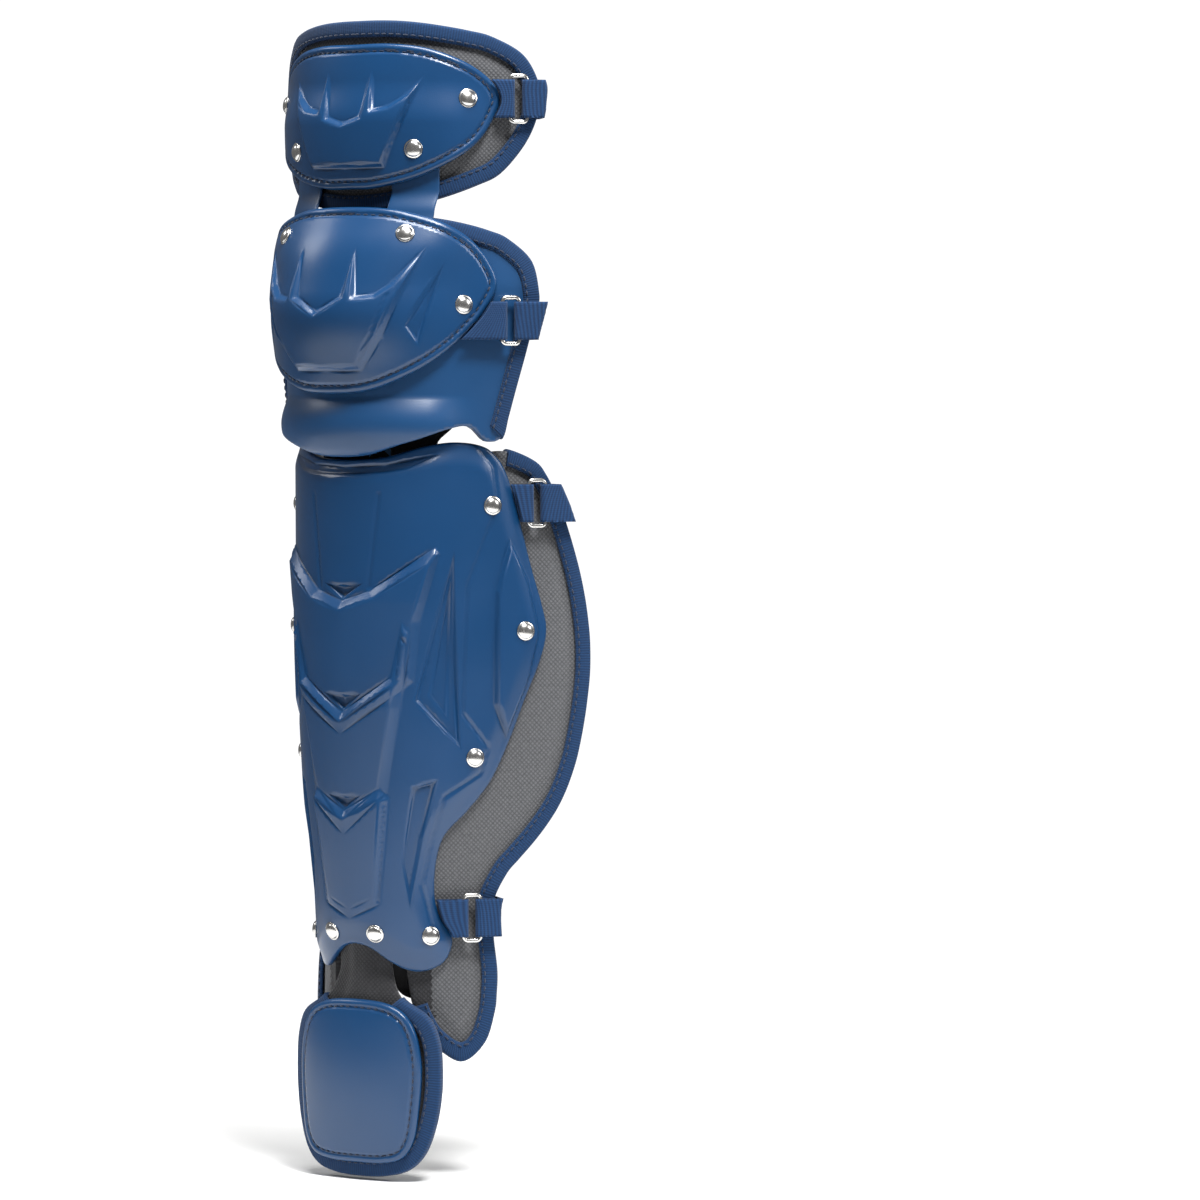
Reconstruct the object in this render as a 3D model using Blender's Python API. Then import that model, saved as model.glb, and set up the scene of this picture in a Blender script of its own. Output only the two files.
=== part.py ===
"""Baseball catcher's leg guard, adult size, upright as worn.

Units are metres, +Z is up and the front of the guard faces -Y. The origin is the seat of
the shin on the liner's inner face. Every layer is laid over a leg form: at each height the
form is an arc round the front of the leg that runs on into two straight wings. A place on
a layer is given by its distance across from the front line, its height above the toe and
its distance out from the form.
"""
import math

import bmesh
import bpy
import numpy as np
from mathutils import Matrix, Vector
from mathutils.bvhtree import BVHTree
from mathutils.geometry import delaunay_2d_cdt

MM = 0.001

# Heights, measured up from the bottom of the toe flap
TOE_FLAP_HEIGHT = 145 * MM
TOE_PLATE_BASE = 7 * MM
TOE_PLATE_HEIGHT = 91 * MM
EAR_BASE = 64 * MM
SHELL_BASE = 114 * MM
SHELL_HEIGHT = 294 * MM
SHELL_TOP = SHELL_BASE + SHELL_HEIGHT
PAD_OVER_SHELL = 6 * MM
SHIN_PAD_HEIGHT = SHELL_TOP + PAD_OVER_SHELL - EAR_BASE
KNEE_LAP_ON_SHELL = 8 * MM
KNEE_PAD_BASE = SHELL_TOP - KNEE_LAP_ON_SHELL
KNEE_PAD_HEIGHT = 134 * MM
KNEE_PLATE_RISE = 35 * MM
KNEE_PLATE_HEIGHT = 103 * MM
THIGH_PAD_RISE = 3 * MM
THIGH_PAD_HEIGHT = 103 * MM
THIGH_PLATE_RISE = 11 * MM
THIGH_PLATE_HEIGHT = 80 * MM
LINER_BASE = 96 * MM
LINER_BELOW_KNEE_TOP = 9 * MM
LINER_HEIGHT = KNEE_PAD_BASE + KNEE_PAD_HEIGHT - LINER_BELOW_KNEE_TOP - LINER_BASE
SEAT_HEIGHT = 300 * MM

# Half widths, measured round the form from the front line
THIGH_PAD_REACH = 104 * MM
THIGH_PLATE_REACH = 83 * MM
KNEE_PAD_REACH = 114 * MM
KNEE_PLATE_REACH = 90 * MM
SHIN_PAD_REACH = 140 * MM
SHELL_REACH = 114 * MM
LINER_REACH = 121 * MM
TOE_PAD_REACH = 50 * MM
TOE_PLATE_REACH = 41 * MM

# Leg forms: front arc, wing angle and how far the front line stands ahead
SHIN_RADIUS = 60 * MM
SHIN_WING = math.radians(55)
ANKLE_SETBACK = 6 * MM
KNEE_RADIUS = 80 * MM
KNEE_WING = math.radians(49)
KNEE_FRONT = 10 * MM
THIGH_RADIUS = 84 * MM
THIGH_WING = math.radians(45)
THIGH_FRONT = -6 * MM
TOE_RADIUS = 128 * MM
TOE_WING = math.radians(30)
TOE_FRONT = -7 * MM

# Walls and clearances
PAD_THICKNESS = 7.5 * MM
TOE_PAD_THICKNESS = 5 * MM
PLATE_WALL = 3.5 * MM
LINER_THICKNESS = 7 * MM
BINDING_WIDTH = 8 * MM
CLOTH = 1.2 * MM
SEAT_GAP = 0.3 * MM
PLATE_SEAT = 0.8 * MM

# Mouldings
SHELL_CROWN = 3 * MM
THIGH_CROWN = 4 * MM
KNEE_CROWN = 16.5 * MM
TOE_CROWN = 4 * MM
ROLL_HEIGHT = 3 * MM
LINER_CREST = 4 * MM

# Hinge tabs
TAB_WIDTH = 26 * MM
TAB_THICKNESS = 1.8 * MM
TAB_ACROSS = 37 * MM
TAB_LAP = 32 * MM
KNEE_LAP = 24 * MM
TAB_SECTIONS = 9

# Rivets, rings and webbing
RIVET_RADIUS = 5.3 * MM
RIVET_RISE = 2.4 * MM
RIVET_SIDES = 10
RING_LENGTH = 28 * MM
RING_WIDTH = 12 * MM
RING_WIRE = 1.3 * MM
STRAP_WIDTH = 21 * MM
STRAP_TURN = 9 * MM

EDGE_SPACING = 13 * MM
ARC_SPACING = 10 * MM
WING_SPACING = 30 * MM
ROW_SPACING = 30 * MM

# Mesh grading: clearance of grid points from an edge and from a relief line, as shares of
# the arc spacing, and the sharpest corner that an inset line follows
EDGE_CLEARANCE = 0.45
LINE_CLEARANCE = 0.30
SHARPEST_CORNER = 0.35

# Leg form sections: height share of the form, front share, radius share, wing share
SHIN_FORM_ROWS = (
    (0.00, -1.55, 0.64, 0.74),
    (0.13, -1.45, 0.66, 0.80),
    (0.25, -0.95, 0.72, 0.93),
    (0.45, -0.35, 0.90, 1.00),
    (0.68, 0.00, 0.98, 1.00),
    (1.00, 0.00, 1.00, 1.00),
)
KNEE_FORM_ROWS = (
    (0.00, 1.00, 0.85, 1.12),
    (0.18, 1.20, 0.87, 1.10),
    (0.40, 1.10, 0.93, 1.05),
    (0.68, 0.90, 0.98, 1.00),
    (0.88, 0.40, 1.01, 0.98),
    (1.00, -0.10, 1.03, 0.96),
)

# Outlines of the right half, from the top centre round to the bottom centre:
# share of the reach, share of the height
THIGH_PAD_OUTLINE = (
    (0, 1), (0.25, 0.995), (0.50, 0.965), (0.76, 0.91), (0.92, 0.82), (1.00, 0.68),
    (0.985, 0.47), (0.92, 0.34), (0.80, 0.20), (0.55, 0.09), (0.30, 0.03), (0, 0),
)
THIGH_PLATE_OUTLINE = (
    (0, 1), (0.28, 1.00), (0.53, 0.965), (0.77, 0.87), (0.94, 0.745), (1.00, 0.62),
    (0.96, 0.495), (0.86, 0.335), (0.69, 0.195), (0.45, 0.07), (0.19, 0.005), (0, 0),
)
KNEE_PAD_OUTLINE = (
    (0, 1), (0.32, 0.985), (0.60, 0.95), (0.82, 0.89), (0.95, 0.80), (1.00, 0.67),
    (0.97, 0.52), (0.92, 0.34), (0.87, 0.17), (0.835, 0.080), (0.76, 0.065), (0.68, 0.125),
    (0.56, 0.115), (0.42, 0.075), (0.28, 0.04), (0.15, 0.008), (0, 0),
)
KNEE_PLATE_OUTLINE = (
    (0, 1), (0.28, 0.99), (0.49, 0.95), (0.65, 0.90), (0.82, 0.81), (0.94, 0.70),
    (1.00, 0.58), (0.935, 0.45), (0.83, 0.34), (0.63, 0.185), (0.43, 0.08), (0.23, 0.015), (0, 0),
)
SHIN_PAD_OUTLINE = (
    (0, 0.95), (0.18, 0.95), (0.33, 0.955), (0.48, 0.962), (0.66, 0.968), (0.77, 0.95),
    (0.86, 0.895), (0.96, 0.77), (1.00, 0.66), (0.985, 0.57), (0.93, 0.47), (0.85, 0.40),
    (0.74, 0.345), (0.62, 0.295), (0.56, 0.25), (0.55, 0.195), (0.555, 0.14), (0.54, 0.075),
    (0.50, 0.028), (0.41, 0.0), (0.30, 0.030), (0.225, 0.085), (0.20, 0.16), (0.19, 0.238),
    (0, 0.255),
)
SHELL_OUTLINE = (
    (0, 0.968), (0.19, 0.972), (0.38, 0.992), (0.52, 1.00), (0.65, 0.995), (0.73, 0.978),
    (0.80, 0.935), (0.87, 0.84), (0.925, 0.76), (0.975, 0.695), (1.00, 0.643), (0.965, 0.585),
    (0.88, 0.509), (0.80, 0.435), (0.70, 0.36), (0.58, 0.305), (0.46, 0.26), (0.41, 0.21),
    (0.395, 0.145), (0.42, 0.10), (0.47, 0.065), (0.455, 0.034), (0.41, 0.012), (0.33, 0.0),
    (0.25, 0.002), (0.17, 0.018), (0.08, 0.043), (0, 0.051),
)
LINER_OUTLINE = (
    (0, 1), (0.28, 0.995), (0.50, 0.985), (0.68, 0.965), (0.77, 0.93), (0.79, 0.88),
    (0.73, 0.815), (0.60, 0.765), (0.44, 0.722), (0.50, 0.690), (0.74, 0.662), (0.90, 0.611),
    (0.98, 0.530), (1.00, 0.448), (0.95, 0.361), (0.83, 0.275), (0.68, 0.200), (0.56, 0.126),
    (0.51, 0.072), (0.45, 0.020), (0.36, 0.0), (0.23, 0.006), (0.10, 0.033), (0, 0.054),
)
TOE_PAD_OUTLINE = (
    (0, 1), (0.36, 1.00), (0.38, 0.90), (0.40, 0.77), (0.52, 0.68), (0.84, 0.61), (0.97, 0.52),
    (1.00, 0.42), (0.99, 0.31), (0.93, 0.20), (0.81, 0.095), (0.62, 0.032), (0.34, 0.006), (0, 0),
)
# Rows of those outlines where a binding starts or stops
KNEE_TIP_ROW = 9
WING_TOP_ROW = 4
EAR_END_ROW = 21
NECK_END_ROW = 4

TOE_PLATE_OUTLINE = (
    (0, 1), (0.45, 0.985), (0.74, 0.93), (0.90, 0.83), (0.98, 0.69), (1.00, 0.55),
    (0.97, 0.36), (0.90, 0.16), (0.74, 0.045), (0.45, 0.005), (0, 0),
)

# Rises of the knee cap's crown: height share of the cap, share of the crown
KNEE_CROWN_ROWS = ((0.00, 0.06), (0.12, 0.36), (0.45, 1.00), (0.80, 0.42), (1.00, 0.02))

# Relief, as closed outlines in shares of the plate's reach and height. A centred outline
# holds its right half; the others are made on both sides. The columns are the relief's
# height, the width of its sloping edge and the height shares between which it dies away.
SHELL_RELIEF = (
    {"centred": True, "rise": 2.6 * MM, "slope": 4.5 * MM, "fade": (0.70, 0.45), "outline": (
        (0, 0.702), (0.14, 0.722), (0.43, 0.805), (0.45, 0.79), (0.36, 0.66), (0.33, 0.55),
        (0, 0.45))},
    {"centred": True, "rise": 2.6 * MM, "slope": 4.5 * MM, "fade": (0.50, 0.26), "outline": (
        (0, 0.492), (0.235, 0.560), (0.28, 0.665), (0.32, 0.64), (0.27, 0.50), (0.20, 0.34),
        (0, 0.26))},
    {"centred": True, "rise": 2.4 * MM, "slope": 4.0 * MM, "fade": (0.31, 0.10), "outline": (
        (0, 0.306), (0.17, 0.348), (0.21, 0.330), (0.15, 0.13), (0, 0.10))},
    {"centred": False, "rise": -3.2 * MM, "slope": 3.0 * MM, "fade": None, "outline": (
        (0.515, 0.80), (0.33, 0.515), (0.54, 0.420), (0.525, 0.60))},
    {"centred": False, "rise": -2.6 * MM, "slope": 2.4 * MM, "fade": None, "outline": (
        (0.42, 0.365), (0.31, 0.352), (0.245, 0.21), (0.27, 0.12), (0.34, 0.25))},
    {"centred": False, "rise": 2.0 * MM, "slope": 2.4 * MM, "fade": None, "outline": (
        (0.80, 0.82), (0.72, 0.72), (0.71, 0.505), (0.78, 0.44), (0.90, 0.545), (0.96, 0.64),
        (0.90, 0.74))},
)
KNEE_RELIEF = (
    {"centred": True, "rise": 2.2 * MM, "slope": 3.0 * MM, "fade": None, "outline": (
        (0, 0.44), (0.13, 0.52), (0.19, 0.76), (0.27, 0.52), (0.36, 0.56), (0.55, 0.78),
        (0.42, 0.50), (0.34, 0.30), (0.22, 0.12), (0, 0.12))},
    {"centred": False, "rise": -1.8 * MM, "slope": 2.5 * MM, "fade": None, "outline": (
        (0.66, 0.70), (0.46, 0.36), (0.53, 0.25), (0.58, 0.42))},
)
THIGH_RELIEF = (
    {"centred": True, "rise": 1.8 * MM, "slope": 2.6 * MM, "fade": None, "outline": (
        (0, 0.45), (0.10, 0.50), (0.17, 0.82), (0.21, 0.54), (0.40, 0.64), (0.52, 0.80),
        (0.43, 0.56), (0.33, 0.30), (0.27, 0.14), (0, 0.14))},
)

# Rivets on the right half: share of the plate's reach, share of its height
THIGH_RIVETS = {"outer": (0.78, 0.62), "tab": (0.45, 0.27)}
KNEE_RIVETS = {"tab": (0.42, 0.855), "outer": (0.79, 0.475)}
SHELL_RIVETS = {"upper": (0.71, 0.881), "middle": (0.87, 0.644), "lower": (0.61, 0.405)}
ANKLE_RIVETS = {"front": (0.115, 0.072), "side": (0.36, 0.068)}

# Heights of the strap stations as shares of the plate that each one leaves
THIGH_STRAP_LEVEL = 0.62
KNEE_STRAP_LEVEL = 0.39
CALF_STRAP_LEVEL = 0.885
ANKLE_STRAP_LEVEL = 0.100

KNEE_PLATE_BASE = KNEE_PAD_BASE + KNEE_PLATE_RISE
THIGH_PAD_BASE = KNEE_PAD_BASE + KNEE_PAD_HEIGHT + THIGH_PAD_RISE
THIGH_PLATE_BASE = THIGH_PAD_BASE + THIGH_PLATE_RISE
BINDING_OUT = SEAT_GAP + CLOTH
TAB_SEAT = BINDING_OUT + SEAT_GAP
TAB_LIFT = TAB_SEAT + TAB_THICKNESS
LINER_SEAT = PAD_THICKNESS + BINDING_OUT + SEAT_GAP
SEAT_DEPTH = LINER_SEAT + LINER_THICKNESS

COLOURS = {
    "moulded_plastic": ((0.035, 0.110, 0.250, 1), 0.36, 0.0),
    "cloth": ((0.110, 0.112, 0.118, 1), 0.90, 0.0),
    "binding": ((0.008, 0.040, 0.110, 1), 0.85, 0.0),
    "liner": ((0.014, 0.013, 0.013, 1), 0.92, 0.0),
    "webbing": ((0.010, 0.045, 0.130, 1), 0.80, 0.0),
    "nickel": ((0.620, 0.610, 0.590, 1), 0.25, 1.0),
}


def clear_scene():
    for item in list(bpy.data.objects):
        bpy.data.objects.remove(item, do_unlink=True)


def finish_material(name):
    material = bpy.data.materials.get(name)
    if material is None:
        colour, roughness, metallic = COLOURS[name]
        material = bpy.data.materials.new(name)
        material.use_nodes = True
        shader = material.node_tree.nodes["Principled BSDF"]
        shader.inputs["Base Color"].default_value = colour
        shader.inputs["Roughness"].default_value = roughness
        shader.inputs["Metallic"].default_value = metallic
    return material


def add_object(name, mesh, finish):
    piece = bpy.data.objects.new(name, mesh)
    if not mesh.materials:
        mesh.materials.append(finish_material(finish))
    guard.objects.link(piece)
    return piece


def ease(value):
    """Turn 0 to 1 into a smooth rise from 0 to 1."""
    held = np.clip(value, 0.0, 1.0)
    return held * held * (3 - 2 * held)


def smooth_value(marks, values, at):
    """A monotone cubic through the values at the marks."""
    steps = np.diff(marks)
    slopes = np.diff(values) / steps
    tangents = np.zeros(len(marks))
    tangents[0], tangents[-1] = slopes[0], slopes[-1]
    for index in range(1, len(marks) - 1):
        before, after = slopes[index - 1], slopes[index]
        if before * after > 0:
            tangents[index] = 2 * before * after / (before + after)
    at = min(max(at, marks[0]), marks[-1])
    index = min(int(np.searchsorted(marks, at, side="right")) - 1, len(steps) - 1)
    step = steps[index]
    t = (at - marks[index]) / step
    weights = (2 * t ** 3 - 3 * t ** 2 + 1, (t ** 3 - 2 * t ** 2 + t) * step,
               3 * t ** 2 - 2 * t ** 3, (t ** 3 - t ** 2) * step)
    return float(np.dot(weights, (values[index], tangents[index], values[index + 1], tangents[index + 1])))


def leg_form(base, height, rows, front, radius, wing):
    """A function that gives the front, radius and wing angle at a height."""
    columns = np.array(rows, dtype=float)
    sizes = (front, radius, wing)

    def section(up):
        share = (up - base) / height
        return [smooth_value(columns[:, 0], columns[:, i + 1] * size, share) for i, size in enumerate(sizes)]
    return section


def plain_form(front, radius, wing):
    """A form with the same section at every height."""
    return lambda up: [front, radius, wing]


def blended_form(lower, upper, start, end):
    """A form that turns from one form into another between two heights."""
    def section(up):
        share = float(ease((up - start) / (end - start)))
        return [a + (b - a) * share for a, b in zip(lower(up), upper(up))]
    return section


def form_point(form, across, up, out):
    """The point at a distance across, up and out from a form."""
    front, radius, wing = form(up)
    along = abs(across)
    turn = min(along / radius, wing)
    straight = max(along - radius * wing, 0.0)
    x = (radius + out) * math.sin(turn) + straight * math.cos(wing)
    y = radius - front - (radius + out) * math.cos(turn) + straight * math.sin(wing)
    return Vector((math.copysign(x, across), y - SEAT_DEPTH, up - SEAT_HEIGHT))


def mirrored(points):
    return [(-across, up) for across, up in points]


def rounded_half(rows, reach, base, height, spacing):
    """Round the right half of an outline through its points, and mark where they are."""
    half = [(share * reach, base + rise * height) for share, rise in rows]
    chain = [(-half[1][0], half[1][1])] + half + [(-half[-2][0], half[-2][1])]
    points, marks = [], []
    for index in range(1, len(chain) - 2):
        before, start, end, after = (np.array(chain[index + step]) for step in (-1, 0, 1, 2))
        count = max(1, round(float(np.linalg.norm(end - start)) / spacing))
        marks.append(len(points))
        for step in range(count):
            t = step / count
            bend = (2 * before - 5 * start + 4 * end - after) * t ** 2
            turn = (3 * start - before - 3 * end + after) * t ** 3
            point = 0.5 * (2 * start + (end - before) * t + bend + turn)
            points.append((float(point[0]), float(point[1])))
    marks.append(len(points))
    points.append(half[-1])
    return points, marks


def closed_loop(half):
    """The whole outline from its right half."""
    return half + mirrored(half[1:-1])[::-1]


def edge_distance(loop, places):
    """Distance of each place from a closed outline, positive inside it."""
    places = np.asarray(places, dtype=float)
    start = np.array(loop, dtype=float)
    end = np.roll(start, -1, axis=0)
    run = end - start
    offset = places[:, None, :] - start[None, :, :]
    share = np.clip((offset * run).sum(2) / (run * run).sum(1), 0, 1)
    nearest = np.sqrt(((offset - share[..., None] * run) ** 2).sum(2).min(1))
    level = (start[:, 1] > places[:, 1:2]) != (end[:, 1] > places[:, 1:2])
    rise = np.where(run[:, 1] == 0, 1.0, run[:, 1])
    crossing = start[:, 0] + (places[:, 1:2] - start[:, 1]) * run[:, 0] / rise
    inside = (level & (places[:, 0:1] < crossing)).sum(1) % 2 == 1
    return np.where(inside, nearest, -nearest)


def relief_loops(rows, reach, base, height):
    """The closed outlines of a relief table, with their rise, slope and fade heights."""
    loops = []
    for row in rows:
        half = [(share * reach, base + rise * height) for share, rise in row["outline"]]
        fade = row["fade"] and tuple(base + share * height for share in row["fade"])
        outlines = [closed_loop(half)] if row["centred"] else [half, mirrored(half)]
        loops += [(outline, row["rise"], row["slope"], fade) for outline in outlines]
    return loops


def relief_height(loops, places):
    """The height of the relief at each place."""
    total = np.zeros(len(places))
    for outline, rise, slope, fade in loops:
        amount = rise * np.clip(edge_distance(outline, places) / slope, 0, 1)
        if fade:
            high, low = fade
            amount = amount * np.clip((places[:, 1] - low) / (high - low), 0, 1)
        total += amount
    return total


def inset_loop(loop, distance):
    """Move each corner of a closed outline inwards, along the bisector of its sides."""
    corners = [Vector(point) for point in loop]
    area = sum(a.x * b.y - b.x * a.y for a, b in zip(corners, corners[1:] + corners[:1]))
    side = 1 if area > 0 else -1
    moved = []
    for index, corner in enumerate(corners):
        arriving = (corner - corners[index - 1]).normalized()
        leaving = (corners[(index + 1) % len(corners)] - corner).normalized()
        inward = Vector((-(arriving.y + leaving.y), arriving.x + leaving.x)) * side
        inward.normalize()
        sine = abs(arriving.x * inward.y - arriving.y * inward.x)
        moved.append(tuple(corner + inward * distance / max(sine, SHARPEST_CORNER)))
    return moved


def grid_places(form, loop, keep_off):
    """Places inside an outline, close together round the front arc and wider on the wings."""
    outline = np.array(loop)
    low, high = outline.min(0), outline.max(0)
    rows = max(2, round((high[1] - low[1]) / ROW_SPACING))
    places = []
    for row in range(rows):
        up = low[1] + (row + 0.5) * (high[1] - low[1]) / rows
        _, radius, wing = form(up)
        arc = int(radius * wing // ARC_SPACING)
        columns = [step * ARC_SPACING for step in range(arc + 1)]
        while columns[-1] + WING_SPACING < high[0]:
            columns.append(columns[-1] + WING_SPACING)
        places += [(side * across, up) for across in columns for side in (-1, 1) if across or side > 0]
    places = np.array(places)
    places = places[edge_distance(loop, places) > EDGE_CLEARANCE * ARC_SPACING]
    for line in keep_off:
        places = places[np.abs(edge_distance(line, places)) > LINE_CLEARANCE * ARC_SPACING]
    return [tuple(place) for place in places]


def panel(name, form, loop, lines, outer, inner, finish):
    """A closed wall over a form, between an outer and an inner surface."""
    places, edges = [], []
    for line in [loop] + lines:
        first = len(places)
        places += line
        edges += [(first + i, first + (i + 1) % len(line)) for i in range(len(line))]
    places += grid_places(form, loop, lines)
    flat, _, faces, *_ = delaunay_2d_cdt([Vector(place) for place in places], edges, [], 1, 1e-6)
    spots = np.array([tuple(vertex) for vertex in flat])
    outs, ins = outer(spots), inner(spots)
    shape = bmesh.new()
    depth = shape.verts.layers.int.new("spot")
    corners = []
    for index, (across, up) in enumerate(spots):
        corner = shape.verts.new(form_point(form, across, up, outs[index]))
        corner[depth] = index
        corners.append(corner)
    for face in faces:
        shape.faces.new([corners[index] for index in face])
    extruded = bmesh.ops.extrude_face_region(shape, geom=shape.faces[:])
    for part in extruded["geom"]:
        if isinstance(part, bmesh.types.BMVert):
            across, up = spots[part[depth]]
            part.co = form_point(form, across, up, ins[part[depth]])
    bmesh.ops.recalc_face_normals(shape, faces=shape.faces[:])
    mesh = bpy.data.meshes.new(name)
    shape.to_mesh(mesh)
    shape.free()
    return add_object(name, mesh, finish)


def strip(name, rings, closed, finish):
    """A solid lofted through rings of points, closed on itself or capped at its ends."""
    shape = bmesh.new()
    corners = [[shape.verts.new(point) for point in ring] for ring in rings]
    count = len(rings)
    for index in range(count if closed else count - 1):
        here, ahead = corners[index], corners[(index + 1) % count]
        for side in range(len(here)):
            after = (side + 1) % len(here)
            shape.faces.new((here[side], here[after], ahead[after], ahead[side]))
    if not closed:
        shape.faces.new(corners[0][::-1])
        shape.faces.new(corners[-1])
    shape.normal_update()
    caps = [face for face in shape.faces if len(face.verts) > 4]
    bmesh.ops.triangulate(shape, faces=caps, ngon_method="EAR_CLIP")
    bmesh.ops.recalc_face_normals(shape, faces=shape.faces[:])
    mesh = bpy.data.meshes.new(name)
    shape.to_mesh(mesh)
    shape.free()
    return add_object(name, mesh, finish)


def binding(name, form, pad, picks, closed, back):
    """A folded cloth strip round the edge of a pad whose inner face lies at -back."""
    rings = []
    for index in picks:
        edge, sewn = Vector(pad["edge"][index]), Vector(pad["sewn"][index])
        nose = edge + (edge - sewn).normalized() * BINDING_OUT
        seam = edge + (edge - sewn).normalized() * SEAT_GAP
        fold = ((sewn, BINDING_OUT), (edge, BINDING_OUT), (nose, -back / 2),
                (edge, -back - BINDING_OUT), (sewn, -back - BINDING_OUT), (sewn, -back - SEAT_GAP),
                (seam, -back - SEAT_GAP), (seam, SEAT_GAP), (sewn, SEAT_GAP))
        rings.append([form_point(form, *place, out) for place, out in fold])
    return strip(name, rings, closed, "binding")


def build_plate(name, form, rows, reach, base, height, relief_rows, crown, seat=PLATE_SEAT):
    """A moulded plate with its crown and relief, and the surface that it shows."""
    half, _ = rounded_half(rows, reach, base, height, EDGE_SPACING)
    loop = closed_loop(half)
    relief = relief_loops(relief_rows, reach, base, height)

    def outer(spots):
        spots = np.asarray(spots, dtype=float)
        return seat + PLATE_WALL + crown(spots, loop) + relief_height(relief, spots)

    def inner(spots):
        return np.maximum(seat, outer(spots) - PLATE_WALL)

    lines = []
    for outline, _, slope, _ in relief:
        lines += [outline, inset_loop(outline, slope)]
    piece = panel(name, form, loop, lines, outer, inner, "moulded_plastic")
    return {"edge": loop, "outer": outer, "mesh": piece.data}


def shares(spots, reach, base, height):
    """Turn places into shares of a plate's reach and height."""
    return spots[:, 0] / reach, (spots[:, 1] - base) / height


def tab_lift(spots, level, run):
    """How far a plate stands off its pad to clear the hinge tabs."""
    wide = TAB_ACROSS + TAB_WIDTH / 2
    beside = 1 - ease((np.abs(spots[:, 0]) - wide) / (0.7 * wide))
    return TAB_LIFT * beside * ease((spots[:, 1] - level) / run)


def shell_crown(spots, loop):
    return SHELL_CROWN * ease(edge_distance(loop, spots) / (4 * PLATE_WALL))


def thigh_crown(spots, loop):
    across, up = shares(spots, THIGH_PLATE_REACH, THIGH_PLATE_BASE, THIGH_PLATE_HEIGHT)
    swell = np.clip(1 - across ** 2, 0, 1) * np.clip(1 - (2 * up - 1) ** 2, 0, 1)
    level = THIGH_PLATE_BASE + 0.75 * THIGH_PLATE_HEIGHT
    return THIGH_CROWN * swell + tab_lift(spots, level, -0.3 * THIGH_PLATE_HEIGHT)


def knee_crown(spots, loop):
    across, up = shares(spots, KNEE_PLATE_REACH, KNEE_PLATE_BASE, KNEE_PLATE_HEIGHT)
    marks, rises = np.array(KNEE_CROWN_ROWS).T
    keel = np.array([smooth_value(marks, rises, share) for share in up])
    swell = np.cos(np.clip(across, -1, 1) * math.pi / 2) ** 2
    level = KNEE_PLATE_BASE + 0.55 * KNEE_PLATE_HEIGHT
    return KNEE_CROWN * swell * keel + tab_lift(spots, level, 0.25 * KNEE_PLATE_HEIGHT)


def toe_crown(spots, loop):
    across, up = shares(spots, TOE_PLATE_REACH, TOE_PLATE_BASE, TOE_PLATE_HEIGHT)
    return TOE_CROWN * np.clip(1 - across ** 2, 0, 1) * np.clip(1 - (2 * up - 1) ** 2, 0, 1)


def knee_roll(spots):
    """The moulded roll across the front of the knee pad, under the cap."""
    rise = (spots[:, 1] - KNEE_PAD_BASE) / KNEE_PLATE_RISE
    beside = 1 - ease((np.abs(spots[:, 0]) / KNEE_PAD_REACH - 0.45) / 0.3)
    return ROLL_HEIGHT * beside * np.sin(np.clip(rise, 0, 0.95) / 0.95 * math.pi)


def liner_pads(spots):
    """The liner's padding: a ridge each side of the shin, and a round knee cup."""
    across, up = shares(spots, LINER_REACH, LINER_BASE, LINER_HEIGHT)
    length = ease((0.62 - up) / 0.1) * ease((up - 0.02) / 0.1)
    ridges = np.exp(-((np.abs(across) - 0.26) / 0.14) ** 2) * length
    cup = np.hypot(spots[:, 0], spots[:, 1] - KNEE_PLATE_BASE - 0.25 * KNEE_PLATE_HEIGHT)
    ring = np.exp(-((cup / (0.22 * LINER_REACH) - 1) / 0.35) ** 2)
    return LINER_CREST * (0.8 * ridges + 0.45 * ring * ease((up - 0.68) / 0.05))


def build_pad(name, form, rows, reach, base, height, top, back, finish):
    """A padded panel; returns its edge, the line where its binding is sewn and its marks."""
    half, marks = rounded_half(rows, reach, base, height, EDGE_SPACING)
    edge = closed_loop(half)
    sewn = inset_loop(edge, BINDING_WIDTH)
    panel(name, form, edge, [sewn], top, lambda spots: np.full(len(spots), -back), finish)
    return {"edge": edge, "sewn": sewn, "marks": marks, "count": len(edge)}


def flat_top(spots):
    return np.zeros(len(spots))


def rivet_mesh():
    """A domed rivet head, turned from its profile."""
    profile = ((0, RIVET_RISE), (0.62, RIVET_RISE * 0.86), (0.93, RIVET_RISE * 0.45), (1, 0), (0, 0))
    mesh = bpy.data.meshes.new("rivet_profile")
    shape = bmesh.new()
    corners = [shape.verts.new((share * RIVET_RADIUS, 0, rise)) for share, rise in profile]
    for start, end in zip(corners, corners[1:]):
        shape.edges.new((start, end))
    bmesh.ops.spin(shape, geom=shape.verts[:] + shape.edges[:], cent=(0, 0, 0), axis=(0, 0, 1),
                   angle=2 * math.pi, steps=RIVET_SIDES, use_merge=True)
    bmesh.ops.remove_doubles(shape, verts=shape.verts[:], dist=1e-5)
    bmesh.ops.recalc_face_normals(shape, faces=shape.faces[:])
    shape.to_mesh(mesh)
    shape.free()
    mesh.shade_smooth()
    return mesh


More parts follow.
